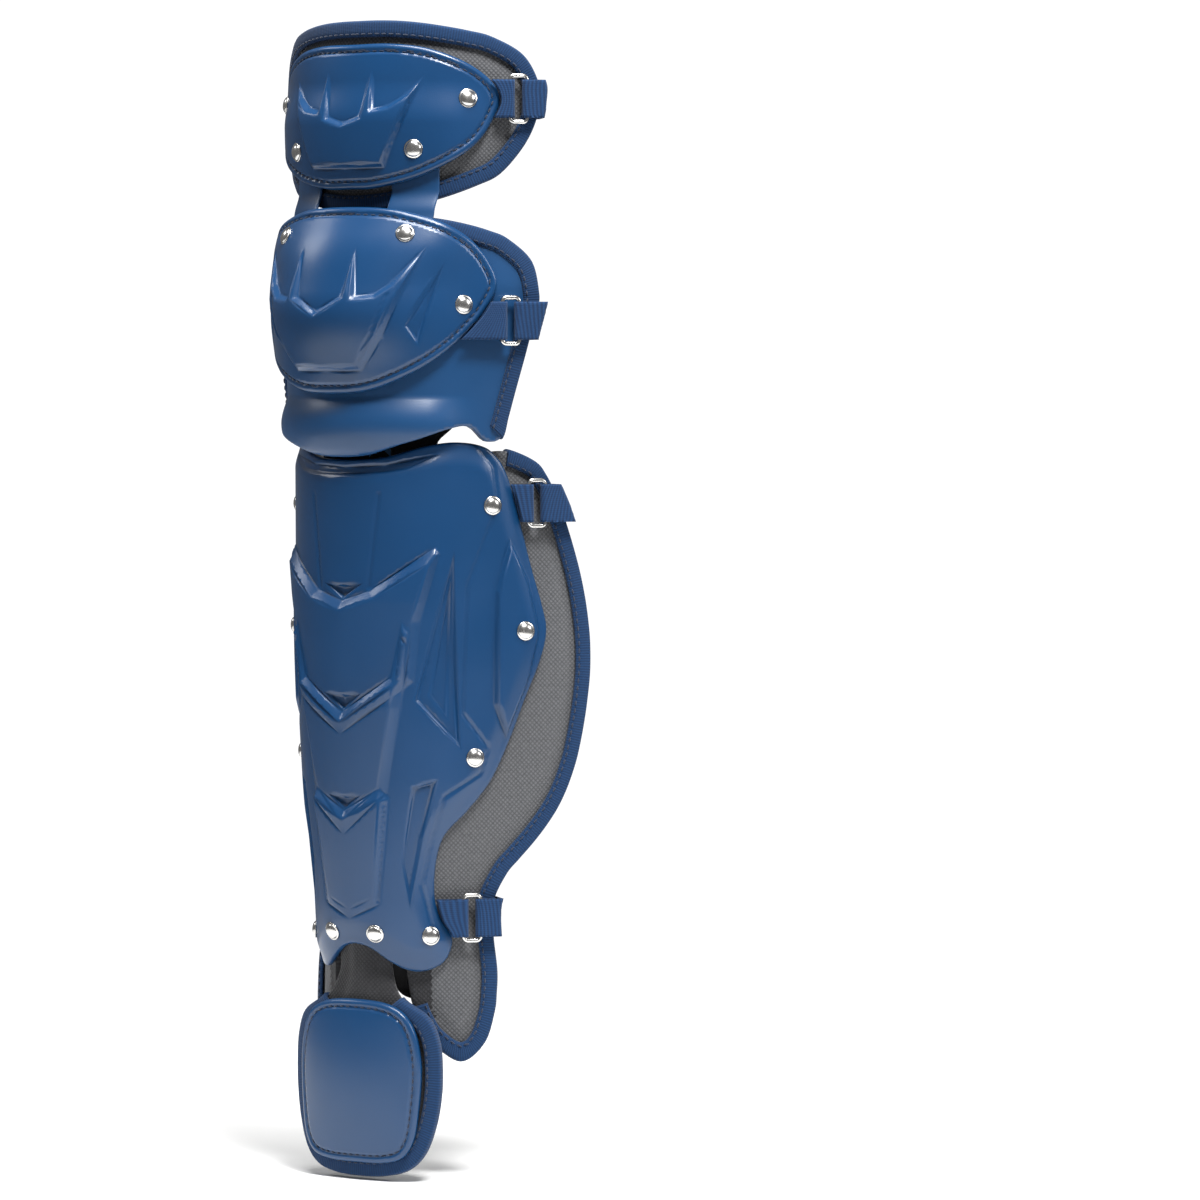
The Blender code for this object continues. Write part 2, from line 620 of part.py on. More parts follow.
def add_rivet(name, mesh, form, outer, plate, place):
    """Seat a rivet head on a plate, square to its surface and clear of its facets."""
    across, up = place
    ring = [(across + dx * RIVET_RADIUS, up + dz * RIVET_RADIUS)
            for dx, dz in ((-1, 0), (1, 0), (0, -1), (0, 1), (0, 0))]
    left, right, low, high, middle = (form_point(form, a, u, o) for (a, u), o in zip(ring, outer(ring)))
    side = (right - left).normalized()
    normal = side.cross(high - low).normalized()
    upward = normal.cross(side)
    stand = 4 * RIVET_RADIUS
    rims = [middle] + [middle + RIVET_RADIUS * (side * math.cos(turn) + upward * math.sin(turn))
                       for turn in np.linspace(0, 2 * math.pi, RIVET_SIDES, endpoint=False)]
    hits = [plate.ray_cast(rim + normal * stand, -normal) for rim in rims]
    seat = max(stand - distance for point, _, _, distance in hits if point)
    rivet = add_object(name, mesh, "nickel")
    turned = Matrix((side, upward, normal)).transposed().to_4x4()
    rivet.matrix_world = Matrix.Translation(middle + normal * (seat + SEAT_GAP)) @ turned
    return rivet


def add_rivets(prefix, mesh, form, shown, table, reach, base, height):
    shape = bmesh.new()
    shape.from_mesh(shown["mesh"])
    plate = BVHTree.FromBMesh(shape)
    shape.free()
    for label, (share, rise) in table.items():
        for hand, sign in (("left", -1), ("right", 1)):
            place = (sign * share * reach, base + rise * height)
            add_rivet(f"{prefix}_rivet_{label}_{hand}", mesh, form, shown["outer"], plate, place)


def edge_at(loop, up):
    """The furthest reach of an outline on the +X side at a height."""
    found = []
    for (a0, u0), (a1, u1) in zip(loop, loop[1:] + loop[:1]):
        if (u0 - up) * (u1 - up) <= 0 and u0 != u1:
            found.append(a0 + (a1 - a0) * (up - u0) / (u1 - u0))
    return max(found)


def add_ring(name, form, across, up, out):
    """A rectangular wire ring that lies on the pad."""
    half_width = RING_WIDTH / 2 - RING_WIRE
    half_length = RING_LENGTH / 2 - RING_WIRE
    turn = 1.1 * RING_WIRE
    points = []
    for quarter, (sx, sz) in enumerate(((1, 1), (-1, 1), (-1, -1), (1, -1))):
        for step in range(3):
            angle = (quarter + step / 2) * math.pi / 2
            points.append(form_point(
                form, across + sx * (half_width - turn) + turn * math.cos(angle),
                up + sz * (half_length - turn) + turn * math.sin(angle), out))
    curve = bpy.data.curves.new(name, "CURVE")
    curve.dimensions = "3D"
    curve.bevel_depth = RING_WIRE
    curve.bevel_resolution = 1
    spline = curve.splines.new("POLY")
    spline.points.add(len(points) - 1)
    for point, place in zip(spline.points, points):
        point.co = (*place, 1)
    spline.use_cyclic_u = True
    curve.materials.append(finish_material("nickel"))
    ring = bpy.data.objects.new(name, curve)
    guard.objects.link(ring)
    return ring


def webbing_loop(bar, end):
    """Section of webbing folded round a ring's bar, with both ends at one place."""
    inside = RING_WIRE + SEAT_GAP
    outside = inside + CLOTH
    turns = [math.pi / 2 - step * math.pi / 4 for step in range(5)]
    outer = [(bar + outside * math.cos(turn), outside * math.sin(turn)) for turn in turns]
    inner = [(bar + inside * math.cos(turn), inside * math.sin(turn)) for turn in turns]
    return [(end, outside)] + outer + [(end, -outside), (end, -inside)] + inner[::-1] + [(end, inside)]


def add_strap(prefix, form, plate_loop, pad_loop, level, back):
    """A strap station: a webbing tab, a wire ring and a strap tail over the pad's edge."""
    levels = [level + STRAP_WIDTH * share for share in (-0.5, -0.25, 0, 0.25, 0.5)]
    plate_edge = [edge_at(plate_loop, up) for up in levels]
    pad_edge = [edge_at(pad_loop, up) for up in levels]
    slant = math.hypot(1, (pad_edge[-1] - pad_edge[0]) / STRAP_WIDTH)
    middle = (max(plate_edge) + min(pad_edge)) / 2
    lift = BINDING_OUT + PLATE_SEAT + CLOTH + SEAT_GAP + RING_WIRE
    front_bar = middle - RING_WIDTH / 2 + RING_WIRE
    rear_bar = middle + RING_WIDTH / 2 - RING_WIRE
    bars = plain_form(*form(level))
    add_ring(f"{prefix}_ring", bars, middle, level, lift)
    rings = []
    for index, up in enumerate(levels):
        nearest = max(plate_edge[max(0, index - 1):index + 2])
        root = min(nearest + 2 * SEAT_GAP, front_bar - 2 * RING_WIRE)
        rings.append([form_point(form if across <= root else bars, across, up, lift + out)
                      for across, out in webbing_loop(front_bar, root)])
    strip(f"{prefix}_strap_tab", rings, False, "webbing")
    inside = RING_WIRE + SEAT_GAP
    outside = inside + CLOTH
    under = -back - BINDING_OUT - SEAT_GAP
    turns = [math.pi / 2 + step * math.pi / 4 for step in range(5)]
    fold_outer, fold_inner = (
        [(rear_bar + radius * math.cos(turn), lift + radius * math.sin(turn)) for turn in turns]
        for radius in (outside, inside))
    rings = []
    for up, edge in zip(levels, pad_edge):
        wrap = edge + (2 * BINDING_OUT + SEAT_GAP) * slant
        tuck = wrap - STRAP_TURN
        section = ([(wrap, under), (tuck, under), (tuck, under - CLOTH), (wrap + CLOTH, under - CLOTH),
                    (wrap + CLOTH, lift + inside), (wrap, lift + outside)]
                   + fold_outer + [(wrap - 2 * CLOTH, lift - outside), (wrap - 2 * CLOTH, lift - inside)]
                   + fold_inner[::-1] + [(wrap - CLOTH, lift + inside), (wrap, lift)])
        rings.append([form_point(bars if across <= rear_bar else form, across, up, out)
                      for across, out in section])
    strip(f"{prefix}_strap_tail", rings, False, "webbing")


def add_hinge_tab(name, form, side):
    """A flat plastic strap from under the knee cap to under the thigh plate."""
    low = KNEE_PAD_BASE + KNEE_PAD_HEIGHT - KNEE_LAP
    high = THIGH_PLATE_BASE + TAB_LAP
    rings = []
    for up in np.linspace(low, high, TAB_SECTIONS):
        ring = []
        for share, out in ((-0.5, 0), (0, 0), (0.5, 0), (0.5, 1), (0, 1), (-0.5, 1)):
            across = side * (TAB_ACROSS + share * TAB_WIDTH)
            ring.append(form_point(form, across, up, TAB_SEAT + out * TAB_THICKNESS))
        rings.append(ring)
    strip(name, rings, False, "moulded_plastic")


clear_scene()
guard = bpy.data.collections.new("catcher_leg_guard")
bpy.context.scene.collection.children.link(guard)

shin_form = leg_form(EAR_BASE, SHIN_PAD_HEIGHT, SHIN_FORM_ROWS, ANKLE_SETBACK, SHIN_RADIUS, SHIN_WING)
knee_form = leg_form(KNEE_PAD_BASE, KNEE_PAD_HEIGHT, KNEE_FORM_ROWS, KNEE_FRONT, KNEE_RADIUS, KNEE_WING)
thigh_form = plain_form(THIGH_FRONT, THIGH_RADIUS, THIGH_WING)
toe_form = blended_form(plain_form(TOE_FRONT, TOE_RADIUS, TOE_WING), shin_form,
                        0.60 * TOE_FLAP_HEIGHT, 0.80 * TOE_FLAP_HEIGHT)
hinge_form = blended_form(knee_form, thigh_form, KNEE_PAD_BASE + KNEE_PAD_HEIGHT, THIGH_PLATE_BASE)
liner_form = blended_form(shin_form, knee_form, EAR_BASE + SHIN_PAD_HEIGHT,
                          KNEE_PLATE_BASE + 0.2 * KNEE_PLATE_HEIGHT)

# Pads and their bindings
thigh_pad = build_pad("thigh_pad", thigh_form, THIGH_PAD_OUTLINE, THIGH_PAD_REACH, THIGH_PAD_BASE,
                      THIGH_PAD_HEIGHT, flat_top, PAD_THICKNESS, "cloth")
binding("thigh_binding", thigh_form, thigh_pad, range(thigh_pad["count"]), True, PAD_THICKNESS)

knee_pad = build_pad("knee_pad", knee_form, KNEE_PAD_OUTLINE, KNEE_PAD_REACH, KNEE_PAD_BASE,
                     KNEE_PAD_HEIGHT, knee_roll, PAD_THICKNESS, "moulded_plastic")
knee_tip = knee_pad["marks"][KNEE_TIP_ROW]
binding("knee_binding", knee_form, knee_pad, range(-knee_tip, knee_tip + 1), False, PAD_THICKNESS)

shin_pad = build_pad("shin_pad", shin_form, SHIN_PAD_OUTLINE, SHIN_PAD_REACH, EAR_BASE,
                     SHIN_PAD_HEIGHT, flat_top, PAD_THICKNESS, "cloth")
wing_top, ear_end = shin_pad["marks"][WING_TOP_ROW], shin_pad["marks"][EAR_END_ROW]
binding("shin_binding_right", shin_form, shin_pad, range(wing_top, ear_end + 1), False, PAD_THICKNESS)
binding("shin_binding_left", shin_form, shin_pad, range(-ear_end, -wing_top + 1), False, PAD_THICKNESS)

toe_pad = build_pad("toe_pad", toe_form, TOE_PAD_OUTLINE, TOE_PAD_REACH, 0, TOE_FLAP_HEIGHT,
                    lambda spots: np.full(len(spots), -SEAT_GAP), TOE_PAD_THICKNESS, "cloth")
neck_end = toe_pad["marks"][NECK_END_ROW]
binding("toe_binding", toe_form, toe_pad, range(neck_end, toe_pad["count"] - neck_end + 1), False,
        TOE_PAD_THICKNESS)

panel("leg_liner", liner_form,
      closed_loop(rounded_half(LINER_OUTLINE, LINER_REACH, LINER_BASE, LINER_HEIGHT, EDGE_SPACING)[0]), [],
      lambda spots: np.full(len(spots), -LINER_SEAT),
      lambda spots: -LINER_SEAT - LINER_THICKNESS - liner_pads(spots),
      "liner")

# Moulded plates
thigh_plate = build_plate("thigh_plate", thigh_form, THIGH_PLATE_OUTLINE, THIGH_PLATE_REACH,
                          THIGH_PLATE_BASE, THIGH_PLATE_HEIGHT, THIGH_RELIEF, thigh_crown)
knee_plate = build_plate("knee_plate", knee_form, KNEE_PLATE_OUTLINE, KNEE_PLATE_REACH,
                         KNEE_PLATE_BASE, KNEE_PLATE_HEIGHT, KNEE_RELIEF, knee_crown)
shin_shell = build_plate("shin_shell", shin_form, SHELL_OUTLINE, SHELL_REACH,
                         SHELL_BASE, SHELL_HEIGHT, SHELL_RELIEF, shell_crown)
build_plate("toe_plate", toe_form, TOE_PLATE_OUTLINE, TOE_PLATE_REACH,
            TOE_PLATE_BASE, TOE_PLATE_HEIGHT, (), toe_crown, BINDING_OUT + SEAT_GAP)

# Hinge tabs
for hand, sign in (("left", -1), ("right", 1)):
    add_hinge_tab(f"hinge_tab_{hand}", hinge_form, sign)

# Rivets
rivet = rivet_mesh()
add_rivets("thigh", rivet, thigh_form, thigh_plate, THIGH_RIVETS, THIGH_PLATE_REACH, THIGH_PLATE_BASE,
           THIGH_PLATE_HEIGHT)
add_rivets("knee", rivet, knee_form, knee_plate, KNEE_RIVETS, KNEE_PLATE_REACH, KNEE_PLATE_BASE,
           KNEE_PLATE_HEIGHT)
add_rivets("shin", rivet, shin_form, shin_shell, SHELL_RIVETS, SHELL_REACH, SHELL_BASE, SHELL_HEIGHT)
add_rivets("ankle", rivet, shin_form, shin_shell, ANKLE_RIVETS, SHELL_REACH, SHELL_BASE, SHELL_HEIGHT)

# Strap stations on the +X side
add_strap("thigh", thigh_form, thigh_plate["edge"], thigh_pad["edge"],
          THIGH_PLATE_BASE + THIGH_STRAP_LEVEL * THIGH_PLATE_HEIGHT, PAD_THICKNESS)
add_strap("knee", knee_form, knee_plate["edge"], knee_pad["edge"],
          KNEE_PLATE_BASE + KNEE_STRAP_LEVEL * KNEE_PLATE_HEIGHT, PAD_THICKNESS)
add_strap("calf", shin_form, shin_shell["edge"], shin_pad["edge"],
          SHELL_BASE + CALF_STRAP_LEVEL * SHELL_HEIGHT, PAD_THICKNESS)
add_strap("ankle", shin_form, shin_shell["edge"], shin_pad["edge"],
          SHELL_BASE + ANKLE_STRAP_LEVEL * SHELL_HEIGHT, PAD_THICKNESS)
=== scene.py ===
# %% [markdown]
# A catcher's leg guard is a stack of layers laid over a leg: a soft liner, padded cloth panels with
# bound edges, and moulded plastic plates riveted on top. Each layer is a flat outline wrapped round
# the same leg, so this lesson first builds the leg as a rule, and then wraps finer and finer detail
# round it. Nothing here changes the size of the guard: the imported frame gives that.

# %% Load the frame
import math

import bmesh
import bpy
import numpy as np
from mathutils import Matrix, Vector
from mathutils.geometry import delaunay_2d_cdt


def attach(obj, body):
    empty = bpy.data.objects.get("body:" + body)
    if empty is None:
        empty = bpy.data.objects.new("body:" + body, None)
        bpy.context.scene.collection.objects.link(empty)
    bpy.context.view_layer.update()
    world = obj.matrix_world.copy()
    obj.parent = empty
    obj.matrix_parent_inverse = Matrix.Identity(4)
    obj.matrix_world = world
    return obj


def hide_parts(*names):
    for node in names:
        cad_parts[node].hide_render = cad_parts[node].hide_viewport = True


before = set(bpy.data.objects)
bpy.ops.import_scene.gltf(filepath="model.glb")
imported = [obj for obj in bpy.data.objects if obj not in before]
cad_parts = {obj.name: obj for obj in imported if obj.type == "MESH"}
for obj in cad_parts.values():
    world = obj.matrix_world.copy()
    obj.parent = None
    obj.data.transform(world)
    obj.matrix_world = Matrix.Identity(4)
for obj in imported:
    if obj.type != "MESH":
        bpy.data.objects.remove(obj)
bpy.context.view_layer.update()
MM = 0.001
print("frame:", len(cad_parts), "nodes")

# %% [markdown]
# The leg form gives three sizes at each height: how far the front line stands ahead, the radius of
# the arc round the front, and the angle at which that arc runs on into two straight wings. A short
# table of sections is enough, because a monotone cubic joins them without ripples.

# %% The leg forms
TOE_FLAP_HEIGHT = 145 * MM
EAR_BASE = 64 * MM
SHIN_PAD_HEIGHT = 350 * MM
KNEE_PAD_BASE = 400 * MM
KNEE_PAD_HEIGHT = 134 * MM
KNEE_PLATE_BASE = KNEE_PAD_BASE + 35 * MM
KNEE_PLATE_HEIGHT = 103 * MM
THIGH_PAD_BASE = KNEE_PAD_BASE + KNEE_PAD_HEIGHT + 3 * MM
THIGH_PAD_HEIGHT = 103 * MM
THIGH_PLATE_BASE = THIGH_PAD_BASE + 11 * MM
THIGH_PLATE_HEIGHT = 80 * MM
SEAT_HEIGHT = 300 * MM
SEAT_DEPTH = 16.3 * MM

# height share of the form, front share, radius share, wing share
SHIN_FORM_ROWS = (
    (0.00, -1.55, 0.64, 0.74),
    (0.13, -1.45, 0.66, 0.80),
    (0.25, -0.95, 0.72, 0.93),
    (0.45, -0.35, 0.90, 1.00),
    (0.68, 0.00, 0.98, 1.00),
    (1.00, 0.00, 1.00, 1.00),
)
KNEE_FORM_ROWS = (
    (0.00, 1.00, 0.85, 1.12),
    (0.18, 1.20, 0.87, 1.10),
    (0.40, 1.10, 0.93, 1.05),
    (0.68, 0.90, 0.98, 1.00),
    (0.88, 0.40, 1.01, 0.98),
    (1.00, -0.10, 1.03, 0.96),
)


def ease(value):
    """Turn 0 to 1 into a smooth rise from 0 to 1."""
    held = np.clip(value, 0.0, 1.0)
    return held * held * (3 - 2 * held)


def smooth_values(marks, values, at):
    """A monotone cubic through the values at the marks."""
    steps = np.diff(marks)
    slopes = np.diff(values) / steps
    before, after = slopes[:-1], slopes[1:]
    total = np.where(before + after == 0, 1.0, before + after)
    inner = np.where(before * after > 0, 2 * before * after / total, 0.0)
    tangents = np.concatenate([slopes[:1], inner, slopes[-1:]])
    at = np.clip(at, marks[0], marks[-1])
    index = np.clip(np.searchsorted(marks, at, side="right") - 1, 0, len(steps) - 1)
    step = steps[index]
    t = (at - marks[index]) / step
    leaving, arriving = step * tangents[index], step * tangents[index + 1]
    start = (2 * t ** 3 - 3 * t ** 2 + 1) * values[index] + (t ** 3 - 2 * t ** 2 + t) * leaving
    end = (3 * t ** 2 - 2 * t ** 3) * values[index + 1] + (t ** 3 - t ** 2) * arriving
    return start + end


def leg_form(base, height, rows, front, radius, wing):
    """A function that gives the front, radius and wing angle at each height."""
    columns = np.array(rows, dtype=float)
    sizes = (front, radius, wing)

    def section(ups):
        share = (np.asarray(ups, dtype=float) - base) / height
        return [smooth_values(columns[:, 0], columns[:, i + 1] * size, share)
                for i, size in enumerate(sizes)]
    return section


def plain_form(front, radius, wing):
    """A form with the same section at every height."""
    return lambda ups: [np.full(np.shape(ups), size) for size in (front, radius, wing)]


def blended_form(lower, upper, start, end):
    """A form that turns from one form into another between two heights."""
    def section(ups):
        share = ease((np.asarray(ups, dtype=float) - start) / (end - start))
        return [a + (b - a) * share for a, b in zip(lower(ups), upper(ups))]
    return section


def wrap(form, across, up, out):
    """Points at distances across, up and out from a form, as rows of x, y, z."""
    across, up, out = np.broadcast_arrays(*(np.asarray(v, dtype=float) for v in (across, up, out)))
    front, radius, wing = form(up)
    along = np.abs(across)
    turn = np.minimum(along / radius, wing)
    straight = np.maximum(along - radius * wing, 0.0)
    x = (radius + out) * np.sin(turn) + straight * np.cos(wing)
    y = radius - front - (radius + out) * np.cos(turn) + straight * np.sin(wing)
    return np.stack([np.copysign(x, across), y - SEAT_DEPTH, up - SEAT_HEIGHT], axis=-1)


shin_form = leg_form(EAR_BASE, SHIN_PAD_HEIGHT, SHIN_FORM_ROWS, 6 * MM, 60 * MM, math.radians(55))
knee_form = leg_form(KNEE_PAD_BASE, KNEE_PAD_HEIGHT, KNEE_FORM_ROWS, 10 * MM, 80 * MM, math.radians(49))
thigh_form = plain_form(-6 * MM, 84 * MM, math.radians(45))
toe_form = blended_form(plain_form(-7 * MM, 128 * MM, math.radians(30)), shin_form,
                        0.60 * TOE_FLAP_HEIGHT, 0.80 * TOE_FLAP_HEIGHT)
hinge_form = blended_form(knee_form, thigh_form, KNEE_PAD_BASE + KNEE_PAD_HEIGHT, THIGH_PLATE_BASE)
liner_form = blended_form(shin_form, knee_form, EAR_BASE + SHIN_PAD_HEIGHT,
                          KNEE_PLATE_BASE + 0.2 * KNEE_PLATE_HEIGHT)
print("shin radius at the calf:", round(float(shin_form(300 * MM)[1]) / MM, 1), "mm")

# %% [markdown]
# An outline is a pattern piece, as a sewing or moulding pattern would be cut: only its right half is
# stored, in shares of its reach and height, and a Catmull-Rom curve rounds it. Distances from such
# an outline then drive everything that follows the edge, such as lips, seams and stitched grooves.

# %% Outlines and distances
def catmull(before, start, end, after, t):
    """A point on the rounded curve between start and end."""
    bend = (2 * before - 5 * start + 4 * end - after) * t ** 2
    turn = (3 * start - before - 3 * end + after) * t ** 3
    return 0.5 * (2 * start + (end - before) * t + bend + turn)


def placed(points, reach, base, height):
    """Points of a pattern, from shares of its reach and height to metres."""
    return np.array([(share * reach, base + rise * height) for share, rise in points])


def rounded_half(rows, reach, base, height, spacing):
    """Round the right half of an outline through its points, and mark where they are."""
    half = placed(rows, reach, base, height)
    chain = np.vstack([half[1] * (-1, 1), half, half[-2] * (-1, 1)])
    points, marks = [], []
    for index in range(1, len(chain) - 2):
        before, start, end, after = chain[index - 1:index + 3]
        count = max(1, round(float(np.linalg.norm(end - start)) / spacing))
        marks.append(len(points))
        points += [catmull(before, start, end, after, step / count) for step in range(count)]
    marks.append(len(points))
    points.append(half[-1])
    return np.array(points), marks


def closed_loop(half):
    """The whole outline from its right half."""
    return np.vstack([half, (half[1:-1] * (-1, 1))[::-1]])


def finer(loop, count):
    """Round a closed line again, with count steps between its points."""
    before, after, far = np.roll(loop, 1, 0), np.roll(loop, -1, 0), np.roll(loop, -2, 0)
    rounds = [catmull(before, loop, after, far, step / count) for step in range(count)]
    return np.stack(rounds, axis=1).reshape(-1, loop.shape[1])


def inset_loop(loop, distance):
    """Move each corner of a closed outline inwards, along the bisector of its sides."""
    arriving = loop - np.roll(loop, 1, 0)
    arriving /= np.linalg.norm(arriving, axis=1)[:, None]
    leaving = np.roll(arriving, -1, 0)
    area = np.sum(loop[:, 0] * np.roll(loop[:, 1], -1) - np.roll(loop[:, 0], -1) * loop[:, 1])
    both = arriving + leaving
    inward = np.stack([-both[:, 1], both[:, 0]], axis=1) * np.sign(area)
    inward /= np.linalg.norm(inward, axis=1)[:, None]
    sine = np.abs(arriving[:, 0] * inward[:, 1] - arriving[:, 1] * inward[:, 0])
    return loop + inward * (distance / np.maximum(sine, 0.35))[:, None]


def line_distance(line, places, closed):
    """Distance of each place from a line of points."""
    start = line if closed else line[:-1]
    end = np.roll(line, -1, axis=0) if closed else line[1:]
    run = end - start
    square = np.maximum((run * run).sum(1), 1e-18)
    found = []
    for block in np.array_split(places, max(1, len(places) * len(start) // 2_000_000)):
        offset = block[:, None, :] - start[None]
        share = np.clip((offset * run).sum(2) / square, 0, 1)
        found.append(np.sqrt(((offset - share[..., None] * run) ** 2).sum(2).min(1)))
    return np.concatenate(found)


def is_inside(loop, places):
    """Whether each place lies inside a closed outline."""
    start, end = loop, np.roll(loop, -1, axis=0)
    rise = np.where(end[:, 1] == start[:, 1], 1.0, end[:, 1] - start[:, 1])
    found = []
    for block in np.array_split(places, max(1, len(places) * len(loop) // 2_000_000)):
        level = (start[:, 1] > block[:, 1:2]) != (end[:, 1] > block[:, 1:2])
        crossing = start[:, 0] + (block[:, 1:2] - start[:, 1]) * (end[:, 0] - start[:, 0]) / rise
        found.append((level & (block[:, 0:1] < crossing)).sum(1) % 2 == 1)
    return np.concatenate(found)


def edge_distance(loop, places):
    """Distance of each place from a closed outline, positive inside it."""
    away = line_distance(loop, places, True)
    return np.where(is_inside(loop, places), away, -away)


# %% [markdown]
# Every panel is then made the same way. A fine triangle grid fills the outline, extra points follow
# each crease so that moulded edges stay crisp, and both faces of the wall are wrapped round the leg.
# The flat pattern is kept as the UV map, in metres, so that a weave can follow the cloth.

# %% A wall wrapped round the leg
# shares of the grid's spacing: between its rows, to the outline and to a crease line
ROW_STEP, EDGE_CLEARANCE, CREASE_CLEARANCE = 0.87, 0.5, 0.45


def grid_places(loop, spacing, crease_lines):
    """Staggered rows of places inside an outline, clear of it and of its crease lines."""
    low, high = loop.min(0), loop.max(0)
    places = []
    for row, up in enumerate(np.arange(low[1], high[1], spacing * ROW_STEP)):
        across = np.arange(low[0] + (row % 2) * spacing / 2, high[0], spacing)
        places.append(np.stack([across, np.full(len(across), up)], axis=1))
    places = np.concatenate(places)
    places = places[edge_distance(loop, places) > EDGE_CLEARANCE * spacing]
    for line in crease_lines:
        near_box = np.all((places > line.min(0) - spacing) & (places < line.max(0) + spacing), axis=1)
        clear = np.ones(len(places), dtype=bool)
        if near_box.any():
            clear[near_box] = line_distance(line, places[near_box], True) > CREASE_CLEARANCE * spacing
        places = places[clear]
    return places


def wall_mesh(form, loop, creases, top, bottom, spacing):
    """A closed wall between two surfaces; material 0 is outside, 1 inside."""
    rings = [loop, *creases]
    places = np.concatenate(rings + [grid_places(loop, spacing, creases)])
    edges, first = [], 0
    for line in rings:
        edges += [(first + i, first + (i + 1) % len(line)) for i in range(len(line))]
        first += len(line)
    flat, _, faces, *_ = delaunay_2d_cdt([Vector(place) for place in places], edges, [], 1, 1e-7)
    spots = np.array([tuple(vertex) for vertex in flat])
    faces = np.array([tuple(face) for face in faces])
    used = np.unique(faces)
    renumber = np.zeros(len(spots), dtype=int)
    renumber[used] = np.arange(len(used))
    spots, faces = spots[used], renumber[faces]
    corners = spots[faces]
    first_side, last_side = corners[:, 1] - corners[:, 0], corners[:, 2] - corners[:, 0]
    turn = first_side[:, 0] * last_side[:, 1] - first_side[:, 1] * last_side[:, 0]
    faces[turn < 0] = faces[turn < 0][:, ::-1]
    count = len(spots)
    sides = np.concatenate([faces[:, [0, 1]], faces[:, [1, 2]], faces[:, [2, 0]]])
    reverse = set(map(tuple, sides[:, ::-1]))
    rim = [side for side in map(tuple, sides) if side not in reverse]
    points = np.concatenate([wrap(form, spots[:, 0], spots[:, 1], top(spots)),
                             wrap(form, spots[:, 0], spots[:, 1], bottom(spots))])
    walls = [(b, a, a + count, b + count) for a, b in rim]
    mesh = bpy.data.meshes.new("wall")
    mesh.from_pydata(points.tolist(), [], faces.tolist() + (faces[:, ::-1] + count).tolist() + walls)
    inner = np.zeros(len(mesh.polygons), dtype=np.int32)
    inner[len(faces):2 * len(faces)] = 1
    mesh.polygons.foreach_set("material_index", inner)
    index = np.empty(len(mesh.loops), dtype=np.int32)
    mesh.loops.foreach_get("vertex_index", index)
    flat_map = mesh.uv_layers.new(name="pattern")
    flat_map.data.foreach_set("uv", np.concatenate([spots, spots])[index].astype(np.float32).ravel())
    mesh.polygons.foreach_set("use_smooth", np.ones(len(mesh.polygons), dtype=bool))
    mesh.update()
    return mesh


def show(name, mesh, materials, nodes):
    """Put a finished mesh in the scene, in place of the CAD nodes that it stands for."""
    mesh.name = name
    for material in materials:
        mesh.materials.append(material)
    piece = bpy.data.objects.new(name, mesh)
    bpy.context.scene.collection.objects.link(piece)
    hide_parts(*nodes)
    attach(piece, "root")
    print(f"{name}: {len(mesh.polygons)} faces")


# %% [markdown]
# The finishes come next. Each colour is written as the sRGB hex value that a swatch would show and
# turned to the linear value that a shader needs. One helper adds a node with its settings and links.

# %% Helpers for the finishes
def linear(code):
    """An sRGB hex colour as a linear RGBA value."""
    parts = [int(code[i:i + 2], 16) / 255 for i in (1, 3, 5)]
    return (*[c / 12.92 if c <= 0.04045 else ((c + 0.055) / 1.055) ** 2.4 for c in parts], 1.0)


def add_node(tree, kind, *values, **settings):
    """Add a node. Values fill its inputs in order; a small-letter setting is a property, and any
    other is an input, by its name or by _ and its number. A socket is linked, and the rest is set."""
    node = tree.nodes.new(kind)
    inputs = dict(enumerate(values))
    for name, value in settings.items():
        if name[0].islower():
            setattr(node, name, value)
        else:
            inputs[int(name[1:]) if name[1:].isdigit() else name.replace("_", " ")] = value
    for key, value in inputs.items():
        if isinstance(value, bpy.types.NodeSocket):
            tree.links.new(value, node.inputs[key])
        else:
            node.inputs[key].default_value = value
    return node


def new_material(name, **sockets):
    material = bpy.data.materials.new(name)
    material.use_nodes = True
    shader = material.node_tree.nodes["Principled BSDF"]
    for socket, value in sockets.items():
        shader.inputs[socket.replace("_", " ")].default_value = value
    return material, material.node_tree, shader


def surface_detail(tree, shader, share, colours, height=None, strength=0.0, depth=0.0):
    """Colour a finish between two hex values by a share, and let a height lift its surface."""
    dark, light = (linear(code) for code in colours)
    colour = add_node(tree, "ShaderNodeMix", data_type="RGBA", _0=share, _6=dark, _7=light)
    tree.links.new(colour.outputs[2], shader.inputs["Base Color"])
    if height is not None:
        bump = add_node(tree, "ShaderNodeBump", Strength=strength, Distance=depth, Height=height)
        tree.links.new(bump.outputs["Normal"], shader.inputs["Normal"])


def pattern_axes(tree, scale):
    """The two directions of the flat pattern, from metres to the scale given."""
    coordinates = add_node(tree, "ShaderNodeTexCoord")
    split = add_node(tree, "ShaderNodeSeparateXYZ", coordinates.outputs["UV"])
    return [add_node(tree, "ShaderNodeMath", split.outputs[i], scale, operation="MULTIPLY").outputs[0]
            for i in (0, 1)]


# %% [markdown]
# The plates are injection-moulded polyethylene. The mould leaves a fine satin grain, so highlights
# are soft, and handling leaves small changes of gloss. The grain is about 0.5 mm, and it is drawn a
# little coarser so that it shows at this distance.

# %% Finish: moulded polyethylene
PLASTIC_COLOURS = ("#0c365d", "#0e3f6c")
SKIN_COLOURS = ("#113d67", "#154674")
GRAIN_DEPTH = 0.2 * MM


